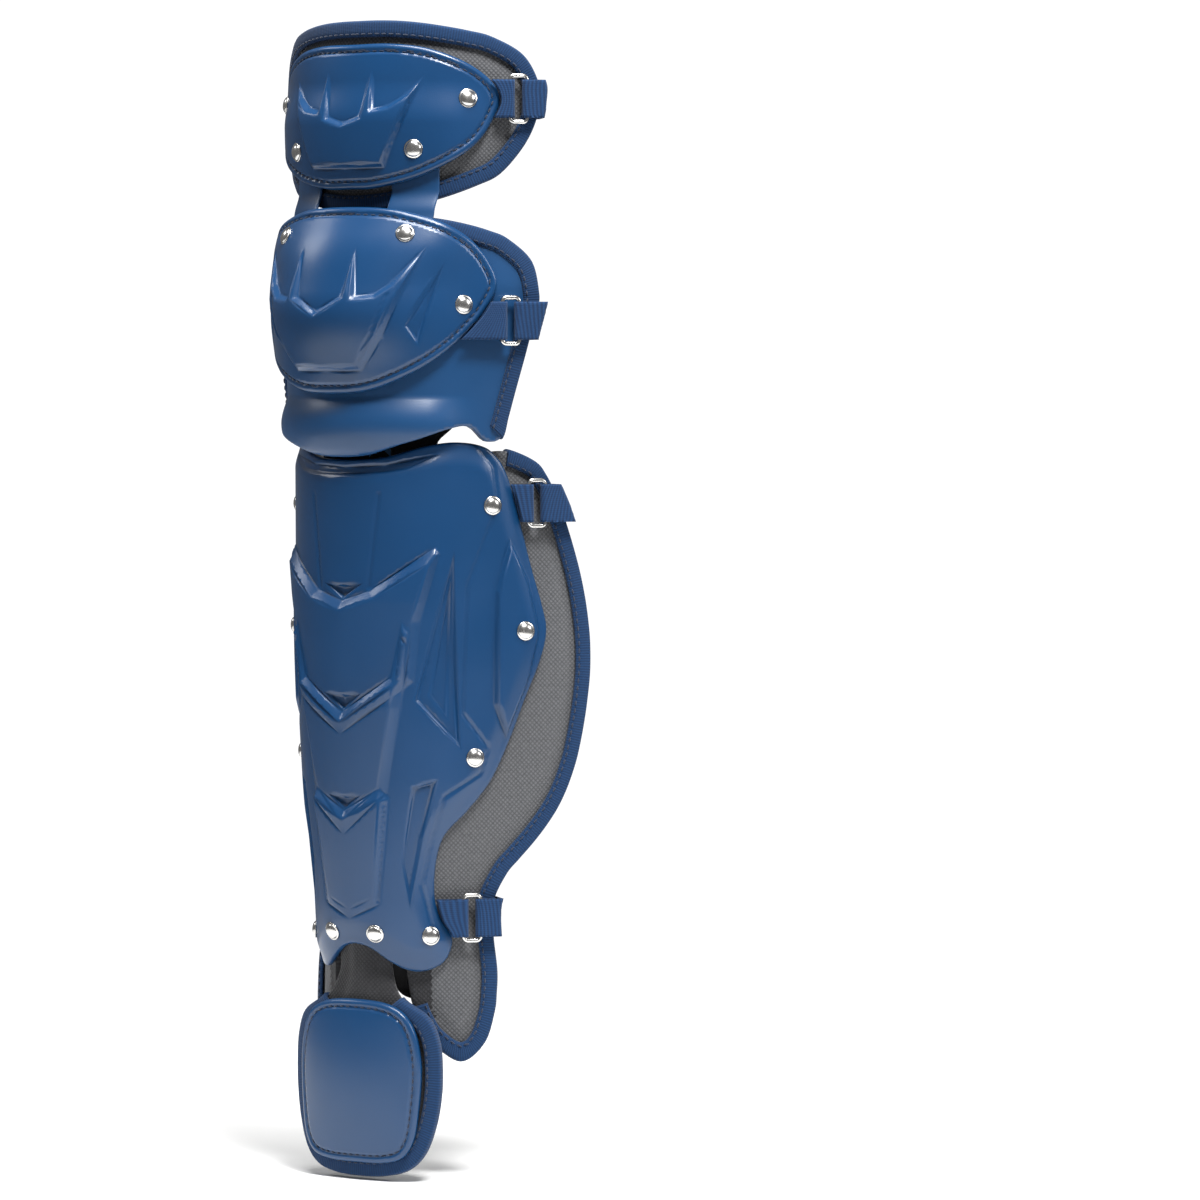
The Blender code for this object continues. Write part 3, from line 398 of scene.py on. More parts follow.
def moulded_plastic(name, colours, roughness, coat):
    material, tree, shader = new_material(name, Roughness=roughness, IOR=1.5, Coat_Weight=coat,
                                          Coat_Roughness=0.22)
    place = add_node(tree, "ShaderNodeTexCoord").outputs["Object"]
    tint = add_node(tree, "ShaderNodeTexNoise", Vector=place, Scale=14.0, Detail=3.0)
    grain = add_node(tree, "ShaderNodeTexVoronoi", Vector=place, Scale=1400.0)
    surface_detail(tree, shader, tint.outputs["Fac"], colours, grain.outputs["Distance"], 0.10, GRAIN_DEPTH)
    scuff = add_node(tree, "ShaderNodeTexNoise", Vector=place, Scale=30.0, Detail=2.0)
    gloss = add_node(tree, "ShaderNodeMapRange", Value=scuff.outputs["Fac"], From_Min=0.35, From_Max=0.7,
                     To_Min=roughness - 0.02, To_Max=roughness + 0.04)
    tree.links.new(gloss.outputs[0], shader.inputs["Roughness"])
    return material


plate_plastic = moulded_plastic("moulded_polyethylene", PLASTIC_COLOURS, 0.30, 0.12)
roll_plastic = moulded_plastic("compression_moulded_foam_skin", SKIN_COLOURS, 0.38, 0.1)
print("plastic:", plate_plastic.name, roll_plastic.name)

# %% [markdown]
# The cloths differ in how they are made. The wings are covered with a woven polyester of thick grey
# yarns, the inside is a knitted spacer mesh with open diamonds, and the edges are folded in a ribbed
# binding tape. All three are drawn on the flat pattern, so the threads run with the cloth.

# %% Finish: cloths
WEAVE_PITCH = 1.3 * MM
MESH_PITCH = 3.4 * MM
RIB_PITCH = 1.5 * MM
WEBBING_PITCH = 2.1 * MM


def soft_cloth(name, roughness, sheen):
    return new_material(name, Roughness=roughness, Specular_IOR_Level=0.25, Sheen_Weight=sheen,
                        Sheen_Roughness=0.6)


def wave_of(tree, axis, turns):
    """A wave from 0 to 1 along an axis that counts repeats."""
    turned = add_node(tree, "ShaderNodeMath", axis, turns * 2 * math.pi, operation="MULTIPLY")
    sine = add_node(tree, "ShaderNodeMath", turned.outputs[0], operation="SINE")
    return add_node(tree, "ShaderNodeMath", sine.outputs[0], 0.5, 0.5, operation="MULTIPLY_ADD").outputs[0]


def shared_by(tree, first, weight, second):
    """The first value by its weight, and the second by the rest."""
    rest = add_node(tree, "ShaderNodeMath", second, round(1 - weight, 2), operation="MULTIPLY")
    mixed = add_node(tree, "ShaderNodeMath", first, weight, rest.outputs[0], operation="MULTIPLY_ADD")
    return mixed.outputs[0]


def woven_cloth(name, colours):
    """A plain weave: each thread rises over one crossing and dips under the next."""
    material, tree, shader = soft_cloth(name, 0.92, 0.15)
    weft, warp = (wave_of(tree, axis, 0.5) for axis in pattern_axes(tree, 1 / WEAVE_PITCH))
    gap = add_node(tree, "ShaderNodeMath", weft, warp, operation="SUBTRACT")
    checks = add_node(tree, "ShaderNodeMath", gap.outputs[0], operation="ABSOLUTE").outputs[0]
    place = add_node(tree, "ShaderNodeTexCoord").outputs["UV"]
    fleck = add_node(tree, "ShaderNodeTexNoise", Vector=place, Scale=420.0, Detail=2.0)
    share = shared_by(tree, checks, 0.55, fleck.outputs["Fac"])
    surface_detail(tree, shader, share, colours, checks, 0.6, 0.4 * MM)
    return material


def diamond_mesh(name, colours):
    """A spacer mesh: yarns cross on two slants and leave dark diamonds."""
    material, tree, shader = soft_cloth(name, 0.95, 0.1)
    axes = pattern_axes(tree, 1 / MESH_PITCH)
    slants = [add_node(tree, "ShaderNodeMath", *axes, operation=way).outputs[0]
              for way in ("ADD", "SUBTRACT")]
    waves = [wave_of(tree, slant, 1.0) for slant in slants]
    yarns = add_node(tree, "ShaderNodeMath", *waves, operation="MAXIMUM")
    edge = add_node(tree, "ShaderNodeMapRange", Value=yarns.outputs[0], From_Min=0.45, From_Max=0.8)
    surface_detail(tree, shader, edge.outputs[0], colours, edge.outputs[0], 0.7, 0.6 * MM)
    return material


def ribbed_tape(name, colours, pitch, axis):
    """A narrow tape with ribs across it; axis 0 or 1 picks the direction of the ribs."""
    material, tree, shader = soft_cloth(name, 0.88, 0.08)
    axes = pattern_axes(tree, 1 / pitch)
    share = shared_by(tree, wave_of(tree, axes[axis], 1.0), 0.7, wave_of(tree, axes[1 - axis], 1.9))
    surface_detail(tree, shader, share, colours, share, 0.5, 0.3 * MM)
    return material


wing_cloth = woven_cloth("woven_polyester", ("#3a3b3e", "#6f7073"))
inner_mesh = diamond_mesh("knitted_spacer_mesh", ("#3b3e42", "#6d7176"))
neck_mesh = diamond_mesh("black_spacer_mesh", ("#1e1d20", "#3c3b3f"))
neck_cloth = woven_cloth("charcoal_woven_polyester", ("#1f1f21", "#3a3a3d"))
binding_tape = ribbed_tape("ribbed_binding_tape", ("#0b2645", "#143a64"), RIB_PITCH, 0)
strap_webbing = ribbed_tape("ribbed_webbing", ("#0a2444", "#163d68"), WEBBING_PITCH, 1)
print("cloths:", wing_cloth.name, inner_mesh.name, binding_tape.name, strap_webbing.name)

# %% [markdown]
# The liner is a brushed knit over foam, so black that its folds show only by their sheen. Short plain
# strokes in sky blue and grey are scattered over it, at most one to a cell.

# %% Finish: liner knit, thread and nickel
PRINT_CELL = 30 * MM
STROKE_LIFT, STROKE_HALF_WIDTH, STROKE_REACH, STROKE_SLOPE = 0.1, 0.07, 0.26, 0.8
STROKE_CHANCE, BLUE_CHANCE = 0.5, 0.74


def printed_knit(name):
    """A black knit; each cell of its flat pattern may hold one bent stroke."""
    material, tree, shader = soft_cloth(name, 0.96, 0.35)
    axes = pattern_axes(tree, 1 / PRINT_CELL)
    corner = [add_node(tree, "ShaderNodeMath", axis, operation="FLOOR").outputs[0] for axis in axes]
    cell = add_node(tree, "ShaderNodeCombineXYZ", *corner)
    chance = add_node(tree, "ShaderNodeTexWhiteNoise", noise_dimensions="2D", Vector=cell.outputs[0])
    parts = [add_node(tree, "ShaderNodeMath", axis, operation="FRACT").outputs[0] for axis in axes]
    inside = [add_node(tree, "ShaderNodeMath", part, 0.5, operation="SUBTRACT").outputs[0] for part in parts]
    beside = add_node(tree, "ShaderNodeMath", inside[0], operation="ABSOLUTE").outputs[0]
    bend = add_node(tree, "ShaderNodeMath", beside, STROKE_SLOPE, inside[1], operation="MULTIPLY_ADD")
    off_line = add_node(tree, "ShaderNodeMath", bend.outputs[0], STROKE_LIFT, operation="SUBTRACT")
    away = add_node(tree, "ShaderNodeMath", off_line.outputs[0], operation="ABSOLUTE").outputs[0]
    near = add_node(tree, "ShaderNodeMath", away, STROKE_HALF_WIDTH, operation="LESS_THAN").outputs[0]
    short = add_node(tree, "ShaderNodeMath", beside, STROKE_REACH, operation="LESS_THAN").outputs[0]
    value = chance.outputs["Value"]
    chosen = add_node(tree, "ShaderNodeMath", value, STROKE_CHANCE, operation="GREATER_THAN").outputs[0]
    whole = add_node(tree, "ShaderNodeMath", near, short, operation="MULTIPLY").outputs[0]
    stroke = add_node(tree, "ShaderNodeMath", whole, chosen, operation="MULTIPLY").outputs[0]
    blue = add_node(tree, "ShaderNodeMath", value, BLUE_CHANCE, operation="GREATER_THAN").outputs[0]
    ink = add_node(tree, "ShaderNodeMix", data_type="RGBA", _0=blue, _6=linear("#7c8084"),
                   _7=linear("#5f93c4"))
    knit = add_node(tree, "ShaderNodeMix", data_type="RGBA", _0=stroke, _6=linear("#1d1d1f"),
                    _7=ink.outputs[2])
    tree.links.new(knit.outputs[2], shader.inputs["Base Color"])
    place = add_node(tree, "ShaderNodeTexCoord").outputs["UV"]
    loops = add_node(tree, "ShaderNodeTexVoronoi", Vector=place, Scale=1100.0)
    bump = add_node(tree, "ShaderNodeBump", Strength=0.5, Distance=0.3 * MM,
                    Height=loops.outputs["Distance"])
    tree.links.new(bump.outputs["Normal"], shader.inputs["Normal"])
    return material


def polished_nickel(name, colours):
    material, tree, shader = new_material(name, Metallic=1.0, Roughness=0.22)
    place = add_node(tree, "ShaderNodeTexCoord").outputs["Object"]
    haze = add_node(tree, "ShaderNodeTexNoise", Vector=place, Scale=260.0, Detail=4.0)
    gloss = add_node(tree, "ShaderNodeMapRange", Value=haze.outputs["Fac"], To_Min=0.16, To_Max=0.34)
    tree.links.new(gloss.outputs[0], shader.inputs["Roughness"])
    surface_detail(tree, shader, haze.outputs["Fac"], colours)
    return material


def twisted_thread(name, colours):
    material, tree, shader = new_material(name, Roughness=0.75, Sheen_Weight=0.3)
    place = add_node(tree, "ShaderNodeTexCoord").outputs["Object"]
    twist = add_node(tree, "ShaderNodeTexNoise", Vector=place, Scale=2500.0)
    surface_detail(tree, shader, twist.outputs["Fac"], colours)
    return material


liner_knit = printed_knit("brushed_knit_with_print")
nickel = polished_nickel("nickel_plated_steel", ("#c2c1bf", "#dedcd8"))
thread = twisted_thread("navy_sewing_thread", ("#06101f", "#12294a"))
print("finishes:", len(bpy.data.materials), "materials")

# %% [markdown]
# A moulded plate gets its look from its relief. Each relief row is a small closed pattern piece that
# lifts or sinks the surface by a few millimetres over a short slope: overlapping chevron tiers down
# the shin, sunk darts at their sides, and claw shapes on the knee and thigh. Grooves follow open
# lines. Doing this as a height over the flat pattern keeps every crease where the mould had it.

# %% Relief on a plate
MIDDLE, SIDES = "middle", "sides"


def relief_loops(rows, *size):
    """The closed outlines of a relief table, with their rise, slope and fade heights.

    A row says where it lies, its rise and slope in mm, the heights where it is full and gone, and
    its outline; the heights and the outline are in shares of the plate."""
    _, base, height = size
    loops = []
    for where, rise, slope, fade, outline in rows:
        half = placed(outline, *size)
        heights = fade and tuple(base + share * height for share in fade)
        sides = [closed_loop(half)] if where == MIDDLE else [half, half * (-1, 1)]
        loops += [(side, rise * MM, slope * MM, heights) for side in sides]
    return loops


def relief_height(loops, places):
    total = np.zeros(len(places))
    for outline, rise, slope, fade in loops:
        near_box = np.all((places > outline.min(0)) & (places < outline.max(0)), axis=1)
        if not near_box.any():
            continue
        spots = places[near_box]
        amount = rise * np.clip(edge_distance(outline, spots) / slope, 0, 1)
        if fade:
            high, low = fade
            amount = amount * np.clip((spots[:, 1] - low) / (high - low), 0, 1)
        total[near_box] += amount
    return total


def groove_lines(rows, *size):
    """Open lines of a groove table, on both sides, with their depth and half width."""
    lines = []
    for depth, half_width, points in rows:
        line = placed(points, *size)
        lines += [(line, depth, half_width), (line * (-1, 1), depth, half_width)]
    return lines


def groove_depth(lines, places):
    total = np.zeros(len(places))
    for line, depth, half_width in lines:
        margin = 2 * half_width
        near_box = np.all((places > line.min(0) - margin) & (places < line.max(0) + margin), axis=1)
        if near_box.any():
            away = line_distance(line, places[near_box], False)
            total[near_box] = np.maximum(total[near_box], depth * (1 - ease(away / half_width)))
    return total


PLATE_WALL = 3.5 * MM
PLATE_SEAT = 0.8 * MM
LIP_RADIUS = 2.0 * MM
GROOVE_INSET = 4.2 * MM
GROOVE_HALF = 1.3 * MM
GROOVE_DEPTH = 1.3 * MM
LIP_DROP = 0.9
LIP_CREASES = (0.35 * MM, 0.9 * MM, 1.7 * MM)


def plate_mesh(form, loop, relief, grooves, crown, seat, spacing, sewn):
    """A moulded plate with rounded lips; returns its mesh and the height of its surface."""
    def surface(spots):
        edge = np.maximum(edge_distance(loop, spots), 0)
        lip = LIP_RADIUS - np.sqrt(np.maximum(LIP_RADIUS ** 2 - np.maximum(LIP_RADIUS - edge, 0) ** 2, 0))
        height = seat + PLATE_WALL + crown(spots) + relief_height(relief, spots) - LIP_DROP * lip
        if sewn:
            height -= GROOVE_DEPTH * (1 - ease(np.abs(edge - GROOVE_INSET) / GROOVE_HALF))
        return height - groove_depth(grooves, spots)

    def underside(spots):
        plain = seat + crown(spots) + relief_height(relief, spots)
        return np.maximum(seat, plain)

    creases = [inset_loop(loop, step) for step in LIP_CREASES]
    if sewn:
        creases += [inset_loop(loop, GROOVE_INSET + step) for step in (-GROOVE_HALF, 0, GROOVE_HALF)]
    for outline, _, slope, _ in relief:
        creases += [outline, inset_loop(outline, slope)]
    return wall_mesh(form, loop, creases, surface, underside, spacing), surface


# %% [markdown]
# The shin shell is the longest piece. Three tiers overlap down its middle like fish scales, each
# standing proud at its upward V and fading into the next. Light from above catches the V as a pale
# band, and a small pocket under each tip stays dark.

# %% The shin shell
SHELL_BASE = 114 * MM
SHELL_HEIGHT = 294 * MM
SHELL_REACH = 114 * MM
SHELL_OUTLINE = (
    (0, 0.968), (0.19, 0.972), (0.38, 0.992), (0.52, 1.00), (0.65, 0.995), (0.73, 0.978),
    (0.80, 0.935), (0.87, 0.84), (0.925, 0.76), (0.975, 0.695), (1.00, 0.643), (0.965, 0.585),
    (0.88, 0.509), (0.80, 0.435), (0.70, 0.36), (0.58, 0.305), (0.46, 0.26), (0.41, 0.21),
    (0.395, 0.145), (0.42, 0.10), (0.47, 0.065), (0.455, 0.034), (0.41, 0.012), (0.33, 0.0),
    (0.25, 0.002), (0.17, 0.018), (0.08, 0.043), (0, 0.051),
)
SHELL_RELIEF = (
    (MIDDLE, 4.4, 5.0, (0.70, 0.45), (
        (0, 0.702), (0.14, 0.722), (0.43, 0.805), (0.45, 0.79), (0.36, 0.66), (0.33, 0.55),
        (0, 0.45))),
    (MIDDLE, 4.4, 5.0, (0.50, 0.26), (
        (0, 0.492), (0.235, 0.560), (0.28, 0.665), (0.32, 0.64), (0.27, 0.50), (0.20, 0.34),
        (0, 0.26))),
    (MIDDLE, 3.8, 4.5, (0.31, 0.10), (
        (0, 0.306), (0.17, 0.348), (0.21, 0.330), (0.15, 0.13), (0, 0.10))),
    (MIDDLE, -3.4, 1.7, None, (
        (0, 0.733), (0.105, 0.735), (0, 0.704))),
    (MIDDLE, -3.4, 1.7, None, (
        (0, 0.526), (0.100, 0.528), (0, 0.494))),
    (MIDDLE, -3.0, 1.5, None, (
        (0, 0.334), (0.085, 0.335), (0, 0.308))),
    (SIDES, -3.0, 1.8, None, (
        (0.515, 0.80), (0.33, 0.515), (0.54, 0.420), (0.525, 0.60))),
    (SIDES, -1.8, 1.0, None, (
        (0.505, 0.745), (0.400, 0.525), (0.485, 0.475), (0.495, 0.60))),
    (SIDES, -2.4, 1.4, None, (
        (0.42, 0.365), (0.31, 0.352), (0.245, 0.21), (0.27, 0.12), (0.34, 0.25))),
    (SIDES, 3.0, 2.4, None, (
        (0.80, 0.82), (0.72, 0.72), (0.71, 0.505), (0.78, 0.44), (0.90, 0.545), (0.96, 0.64),
        (0.90, 0.74))),
    (MIDDLE, -1.5, 0.8, None, (
        (0, 0.956), (0.20, 0.960), (0.46, 0.978), (0.30, 0.948), (0.15, 0.940), (0, 0.938))),
)
# depth, half width, and the line in shares of the reach and height
SHELL_GROOVES = (
    (1.0 * MM, 1.3 * MM, ((0.64, 0.993), (0.72, 0.955), (0.74, 0.885), (0.58, 0.727), (0.55, 0.49),
                          (0.68, 0.424), (0.64, 0.375), (0.45, 0.333), (0.37, 0.23), (0.33, 0.166),
                          (0.37, 0.084))),
    (0.9 * MM, 1.0 * MM, ((0.18, 0.905), (0.13, 0.728))),
    (0.9 * MM, 1.0 * MM, ((0.19, 0.322), (0.135, 0.125))),
)
SHELL_CROWN = 3 * MM


def shell_crown(spots):
    return SHELL_CROWN * ease(edge_distance(shell_loop, spots) / (4 * PLATE_WALL))


shell_loop = closed_loop(rounded_half(SHELL_OUTLINE, SHELL_REACH, SHELL_BASE, SHELL_HEIGHT, 1.6 * MM)[0])
shell_mesh, shell_surface = plate_mesh(
    shin_form, shell_loop,
    relief_loops(SHELL_RELIEF, SHELL_REACH, SHELL_BASE, SHELL_HEIGHT),
    groove_lines(SHELL_GROOVES, SHELL_REACH, SHELL_BASE, SHELL_HEIGHT),
    shell_crown, PLATE_SEAT, 1.3 * MM, False)
show("shin_shell_moulding", shell_mesh, [plate_plastic], ["shin_shell"])

# %% [markdown]
# The knee cap and thigh plate share one idea: a raised claw in the middle with darts cut into its
# upper edge, inside a swelling shield, and a stitched groove just inside the rim.

# %% The knee cap and the thigh plate
TAB_ACROSS, TAB_WIDTH = 37 * MM, 26 * MM
TAB_THICKNESS, TAB_ROUNDING, TAB_LIFT = 1.8 * MM, 0.85 * MM, 3.6 * MM
KNEE_LAP, THIGH_LAP = 24 * MM, 32 * MM
# share of a plate's height where it starts to rise over the tabs, and the share that this takes
KNEE_LIFT, THIGH_LIFT = (0.55, 0.25), (0.75, -0.30)
TAB_FADE = 0.7
KNEE_PLATE_REACH = 90 * MM
KNEE_PLATE_OUTLINE = (
    (0, 1), (0.28, 0.99), (0.49, 0.95), (0.65, 0.90), (0.82, 0.81), (0.94, 0.70),
    (1.00, 0.58), (0.935, 0.45), (0.83, 0.34), (0.63, 0.185), (0.43, 0.08), (0.23, 0.015), (0, 0),
)
KNEE_CROWN = 16.5 * MM
KNEE_CROWN_ROWS = ((0.00, 0.06), (0.12, 0.36), (0.45, 1.00), (0.80, 0.42), (1.00, 0.02))
KNEE_RELIEF = (
    (MIDDLE, 3.4, 2.8, None, (
        (0, 0.44), (0.13, 0.52), (0.17, 0.79), (0.21, 0.52), (0.30, 0.53), (0.38, 0.59),
        (0.55, 0.79), (0.43, 0.50), (0.34, 0.30), (0.22, 0.12), (0, 0.12))),
    (SIDES, -1.8, 1.6, None, (
        (0.66, 0.71), (0.45, 0.36), (0.53, 0.25), (0.58, 0.42))),
)
KNEE_GROOVES = (
    (0.9 * MM, 1.0 * MM, ((0, 0.13), (0.21, 0.135), (0.24, 0.165))),
    (0.8 * MM, 0.9 * MM, ((0.37, 0.53), (0.30, 0.33), (0.20, 0.15))),
)
THIGH_PLATE_REACH = 83 * MM
THIGH_PLATE_OUTLINE = (
    (0, 1), (0.28, 1.00), (0.53, 0.965), (0.77, 0.87), (0.94, 0.745), (1.00, 0.62),
    (0.96, 0.495), (0.86, 0.335), (0.69, 0.195), (0.45, 0.07), (0.19, 0.005), (0, 0),
)
THIGH_CROWN = 4 * MM
THIGH_RELIEF = (
    (MIDDLE, 3.2, 2.6, None, (
        (0, 0.46), (0.11, 0.50), (0.17, 0.83), (0.20, 0.55), (0.29, 0.57), (0.40, 0.65),
        (0.52, 0.79), (0.43, 0.58), (0.33, 0.30), (0.27, 0.14), (0, 0.14))),
)
THIGH_GROOVES = (
    (0.8 * MM, 0.9 * MM, ((0.43, 0.60), (0.33, 0.335), (0.27, 0.16))),
)


def tab_lift(spots, shares, base, height):
    """How far a plate stands off its pad to clear the hinge tabs."""
    start, run = shares
    wide = TAB_ACROSS + TAB_WIDTH / 2
    beside = 1 - ease((np.abs(spots[:, 0]) - wide) / (TAB_FADE * wide))
    return TAB_LIFT * beside * ease((spots[:, 1] - (base + start * height)) / (run * height))


def thigh_crown(spots):
    across = spots[:, 0] / THIGH_PLATE_REACH
    up = (spots[:, 1] - THIGH_PLATE_BASE) / THIGH_PLATE_HEIGHT
    swell = np.clip(1 - across ** 2, 0, 1) * np.clip(1 - (2 * up - 1) ** 2, 0, 1)
    return THIGH_CROWN * swell + tab_lift(spots, THIGH_LIFT, THIGH_PLATE_BASE, THIGH_PLATE_HEIGHT)


def knee_crown(spots):
    across = spots[:, 0] / KNEE_PLATE_REACH
    up = (spots[:, 1] - KNEE_PLATE_BASE) / KNEE_PLATE_HEIGHT
    marks, rises = np.array(KNEE_CROWN_ROWS).T
    swell = np.cos(np.clip(across, -1, 1) * math.pi / 2) ** 2
    lift = tab_lift(spots, KNEE_LIFT, KNEE_PLATE_BASE, KNEE_PLATE_HEIGHT)
    return KNEE_CROWN * swell * smooth_values(marks, rises, up) + lift


knee_loop = closed_loop(rounded_half(KNEE_PLATE_OUTLINE, KNEE_PLATE_REACH, KNEE_PLATE_BASE,
                                     KNEE_PLATE_HEIGHT, 1.4 * MM)[0])
knee_mesh, knee_surface = plate_mesh(
    knee_form, knee_loop,
    relief_loops(KNEE_RELIEF, KNEE_PLATE_REACH, KNEE_PLATE_BASE, KNEE_PLATE_HEIGHT),
    groove_lines(KNEE_GROOVES, KNEE_PLATE_REACH, KNEE_PLATE_BASE, KNEE_PLATE_HEIGHT),
    knee_crown, PLATE_SEAT, 1.1 * MM, True)
show("knee_cap_moulding", knee_mesh, [plate_plastic], ["knee_plate"])

thigh_loop = closed_loop(rounded_half(THIGH_PLATE_OUTLINE, THIGH_PLATE_REACH, THIGH_PLATE_BASE,
                                      THIGH_PLATE_HEIGHT, 1.4 * MM)[0])
thigh_mesh, thigh_surface = plate_mesh(
    thigh_form, thigh_loop,
    relief_loops(THIGH_RELIEF, THIGH_PLATE_REACH, THIGH_PLATE_BASE, THIGH_PLATE_HEIGHT),
    groove_lines(THIGH_GROOVES, THIGH_PLATE_REACH, THIGH_PLATE_BASE, THIGH_PLATE_HEIGHT),
    thigh_crown, PLATE_SEAT, 1.1 * MM, True)
show("thigh_plate_moulding", thigh_mesh, [plate_plastic], ["thigh_plate"])

# %% [markdown]
# The toe plate is the plainest: a soft-cornered shield, slightly domed, with a stitched rim.

# %% The toe plate
TOE_PLATE_BASE = 7 * MM
TOE_PLATE_HEIGHT = 91 * MM
TOE_PLATE_REACH = 41 * MM
TOE_PLATE_OUTLINE = (
    (0, 1), (0.45, 0.985), (0.74, 0.93), (0.90, 0.83), (0.98, 0.69), (1.00, 0.55),
    (0.97, 0.36), (0.90, 0.16), (0.74, 0.045), (0.45, 0.005), (0, 0),
)
TOE_CROWN = 4 * MM
TOE_SEAT = 1.8 * MM


def toe_crown(spots):
    across = spots[:, 0] / TOE_PLATE_REACH
    up = (spots[:, 1] - TOE_PLATE_BASE) / TOE_PLATE_HEIGHT
    return TOE_CROWN * np.clip(1 - across ** 2, 0, 1) * np.clip(1 - (2 * up - 1) ** 2, 0, 1)


toe_loop = closed_loop(rounded_half(TOE_PLATE_OUTLINE, TOE_PLATE_REACH, TOE_PLATE_BASE,
                                    TOE_PLATE_HEIGHT, 1.4 * MM)[0])
toe_mesh, toe_surface = plate_mesh(toe_form, toe_loop, [], [], toe_crown, TOE_SEAT, 1.2 * MM, True)
show("toe_plate_moulding", toe_mesh, [plate_plastic], ["toe_plate"])

# %% [markdown]
# The pads are foam between two cloths. Their edge is folded into a binding tape that is sewn down all
# round, so the foam pinches in at the seam and swells again beside it. The pads use the same coarse
# rhythm as the solids, rounded again, so tape and pad stay together on every bend.

# %% Padded panels and bound edges
EDGE_SPACING = 13 * MM
ROUNDING = 8
BINDING_WIDTH = 8 * MM
PAD_THICKNESS = 7.5 * MM
TOE_PAD_THICKNESS = 5 * MM
CLOTH = 1.2 * MM
SEAT_GAP = 0.3 * MM
PINCH = 1.3 * MM
SWELL_RUN = 9 * MM
PILLOW = 0.9 * MM
PAD_TUCK, TAPE_TUCK = 0.05 * MM, 0.25 * MM
PANEL_SEAM_DEPTH, PANEL_SEAM_HALF = 1.8 * MM, 2.2 * MM
# shares of the tape's width and of its height over the pad, from the sewn line to the edge
TAPE_CURVE = ((0.97, 0.55), (0.86, 1.00), (0.50, 1.12), (0.20, 1.05))


def pad_lines(rows, reach, base, height):
    """The rounded edge of a pad, its sewn line and the marks of its outline's rows."""
    half, marks = rounded_half(rows, reach, base, height, EDGE_SPACING)
    coarse = closed_loop(half)
    edge, sewn = finer(coarse, ROUNDING), finer(inset_loop(coarse, BINDING_WIDTH), ROUNDING)
    return {"edge": edge, "sewn": sewn, "marks": [mark * ROUNDING for mark in marks]}


def level_surface(out):
    """A surface that stands the same distance out everywhere."""
    return lambda spots: np.full(len(spots), out)


def foam_swell(edge, spots):
    """Pinched in at the sewn line, full again a little way inside it."""
    away = edge_distance(edge, spots)
    inside = ease((away - BINDING_WIDTH) / SWELL_RUN)
    return PILLOW * inside * ease((away - BINDING_WIDTH) / (3 * SWELL_RUN)) - PINCH * (1 - inside)


def pad_mesh(form, pad, top, thickness, spacing, sewn_panel=None, bare=False):
    """A foam panel; sewn_panel is the inset of an extra sewn line on its inner face."""
    def outside(spots):
        pinched = np.minimum(foam_swell(pad["edge"], spots), 0)
        return top(spots) + (0 if bare else pinched) - PAD_TUCK

    def inside(spots):
        away = edge_distance(pad["edge"], spots)
        depth = -thickness - 0.5 * np.minimum(foam_swell(pad["edge"], spots), 0)
        if sewn_panel:
            depth += PANEL_SEAM_DEPTH * (1 - ease(np.abs(away - sewn_panel) / PANEL_SEAM_HALF))
        return depth

    return wall_mesh(form, pad["edge"][::2], [pad["sewn"][::2]], outside, inside, spacing)


def binding_mesh(form, pad, picks, closed, thickness):
    """A folded tape: rings of a rounded section along the edge, with its length as the UV map."""
    out = SEAT_GAP + CLOTH
    middle, round_out = -thickness / 2, thickness / 2 + out
    rows = []
    for index in picks:
        edge, sewn = pad["edge"][index], pad["sewn"][index]
        inward = sewn - edge
        width = np.linalg.norm(inward)
        inward = inward / width
        front = [(width, -TAPE_TUCK)] + [(width * share, out * rise) for share, rise in TAPE_CURVE]
        fold = [(-out * math.sin(a), middle + round_out * math.cos(a)) for a in np.linspace(0, math.pi, 13)]
        back = [(reach, -thickness - rise) for reach, rise in front[::-1]]
        lining = [(width * 0.9, -thickness), (width * 0.2, -thickness), (0, middle), (width * 0.2, 0),
                  (width * 0.9, 0)]
        rows.append([(*(edge + inward * reach), rise) for reach, rise in front + fold + back + lining])
    rings = np.array(rows)
    edges = np.array([pad["edge"][index] for index in picks])
    lengths = [0.0, *np.cumsum(np.linalg.norm(np.diff(edges, axis=0), axis=1))]
    return loft_mesh(wrap(form, rings[..., 0], rings[..., 1], rings[..., 2]), lengths, closed)


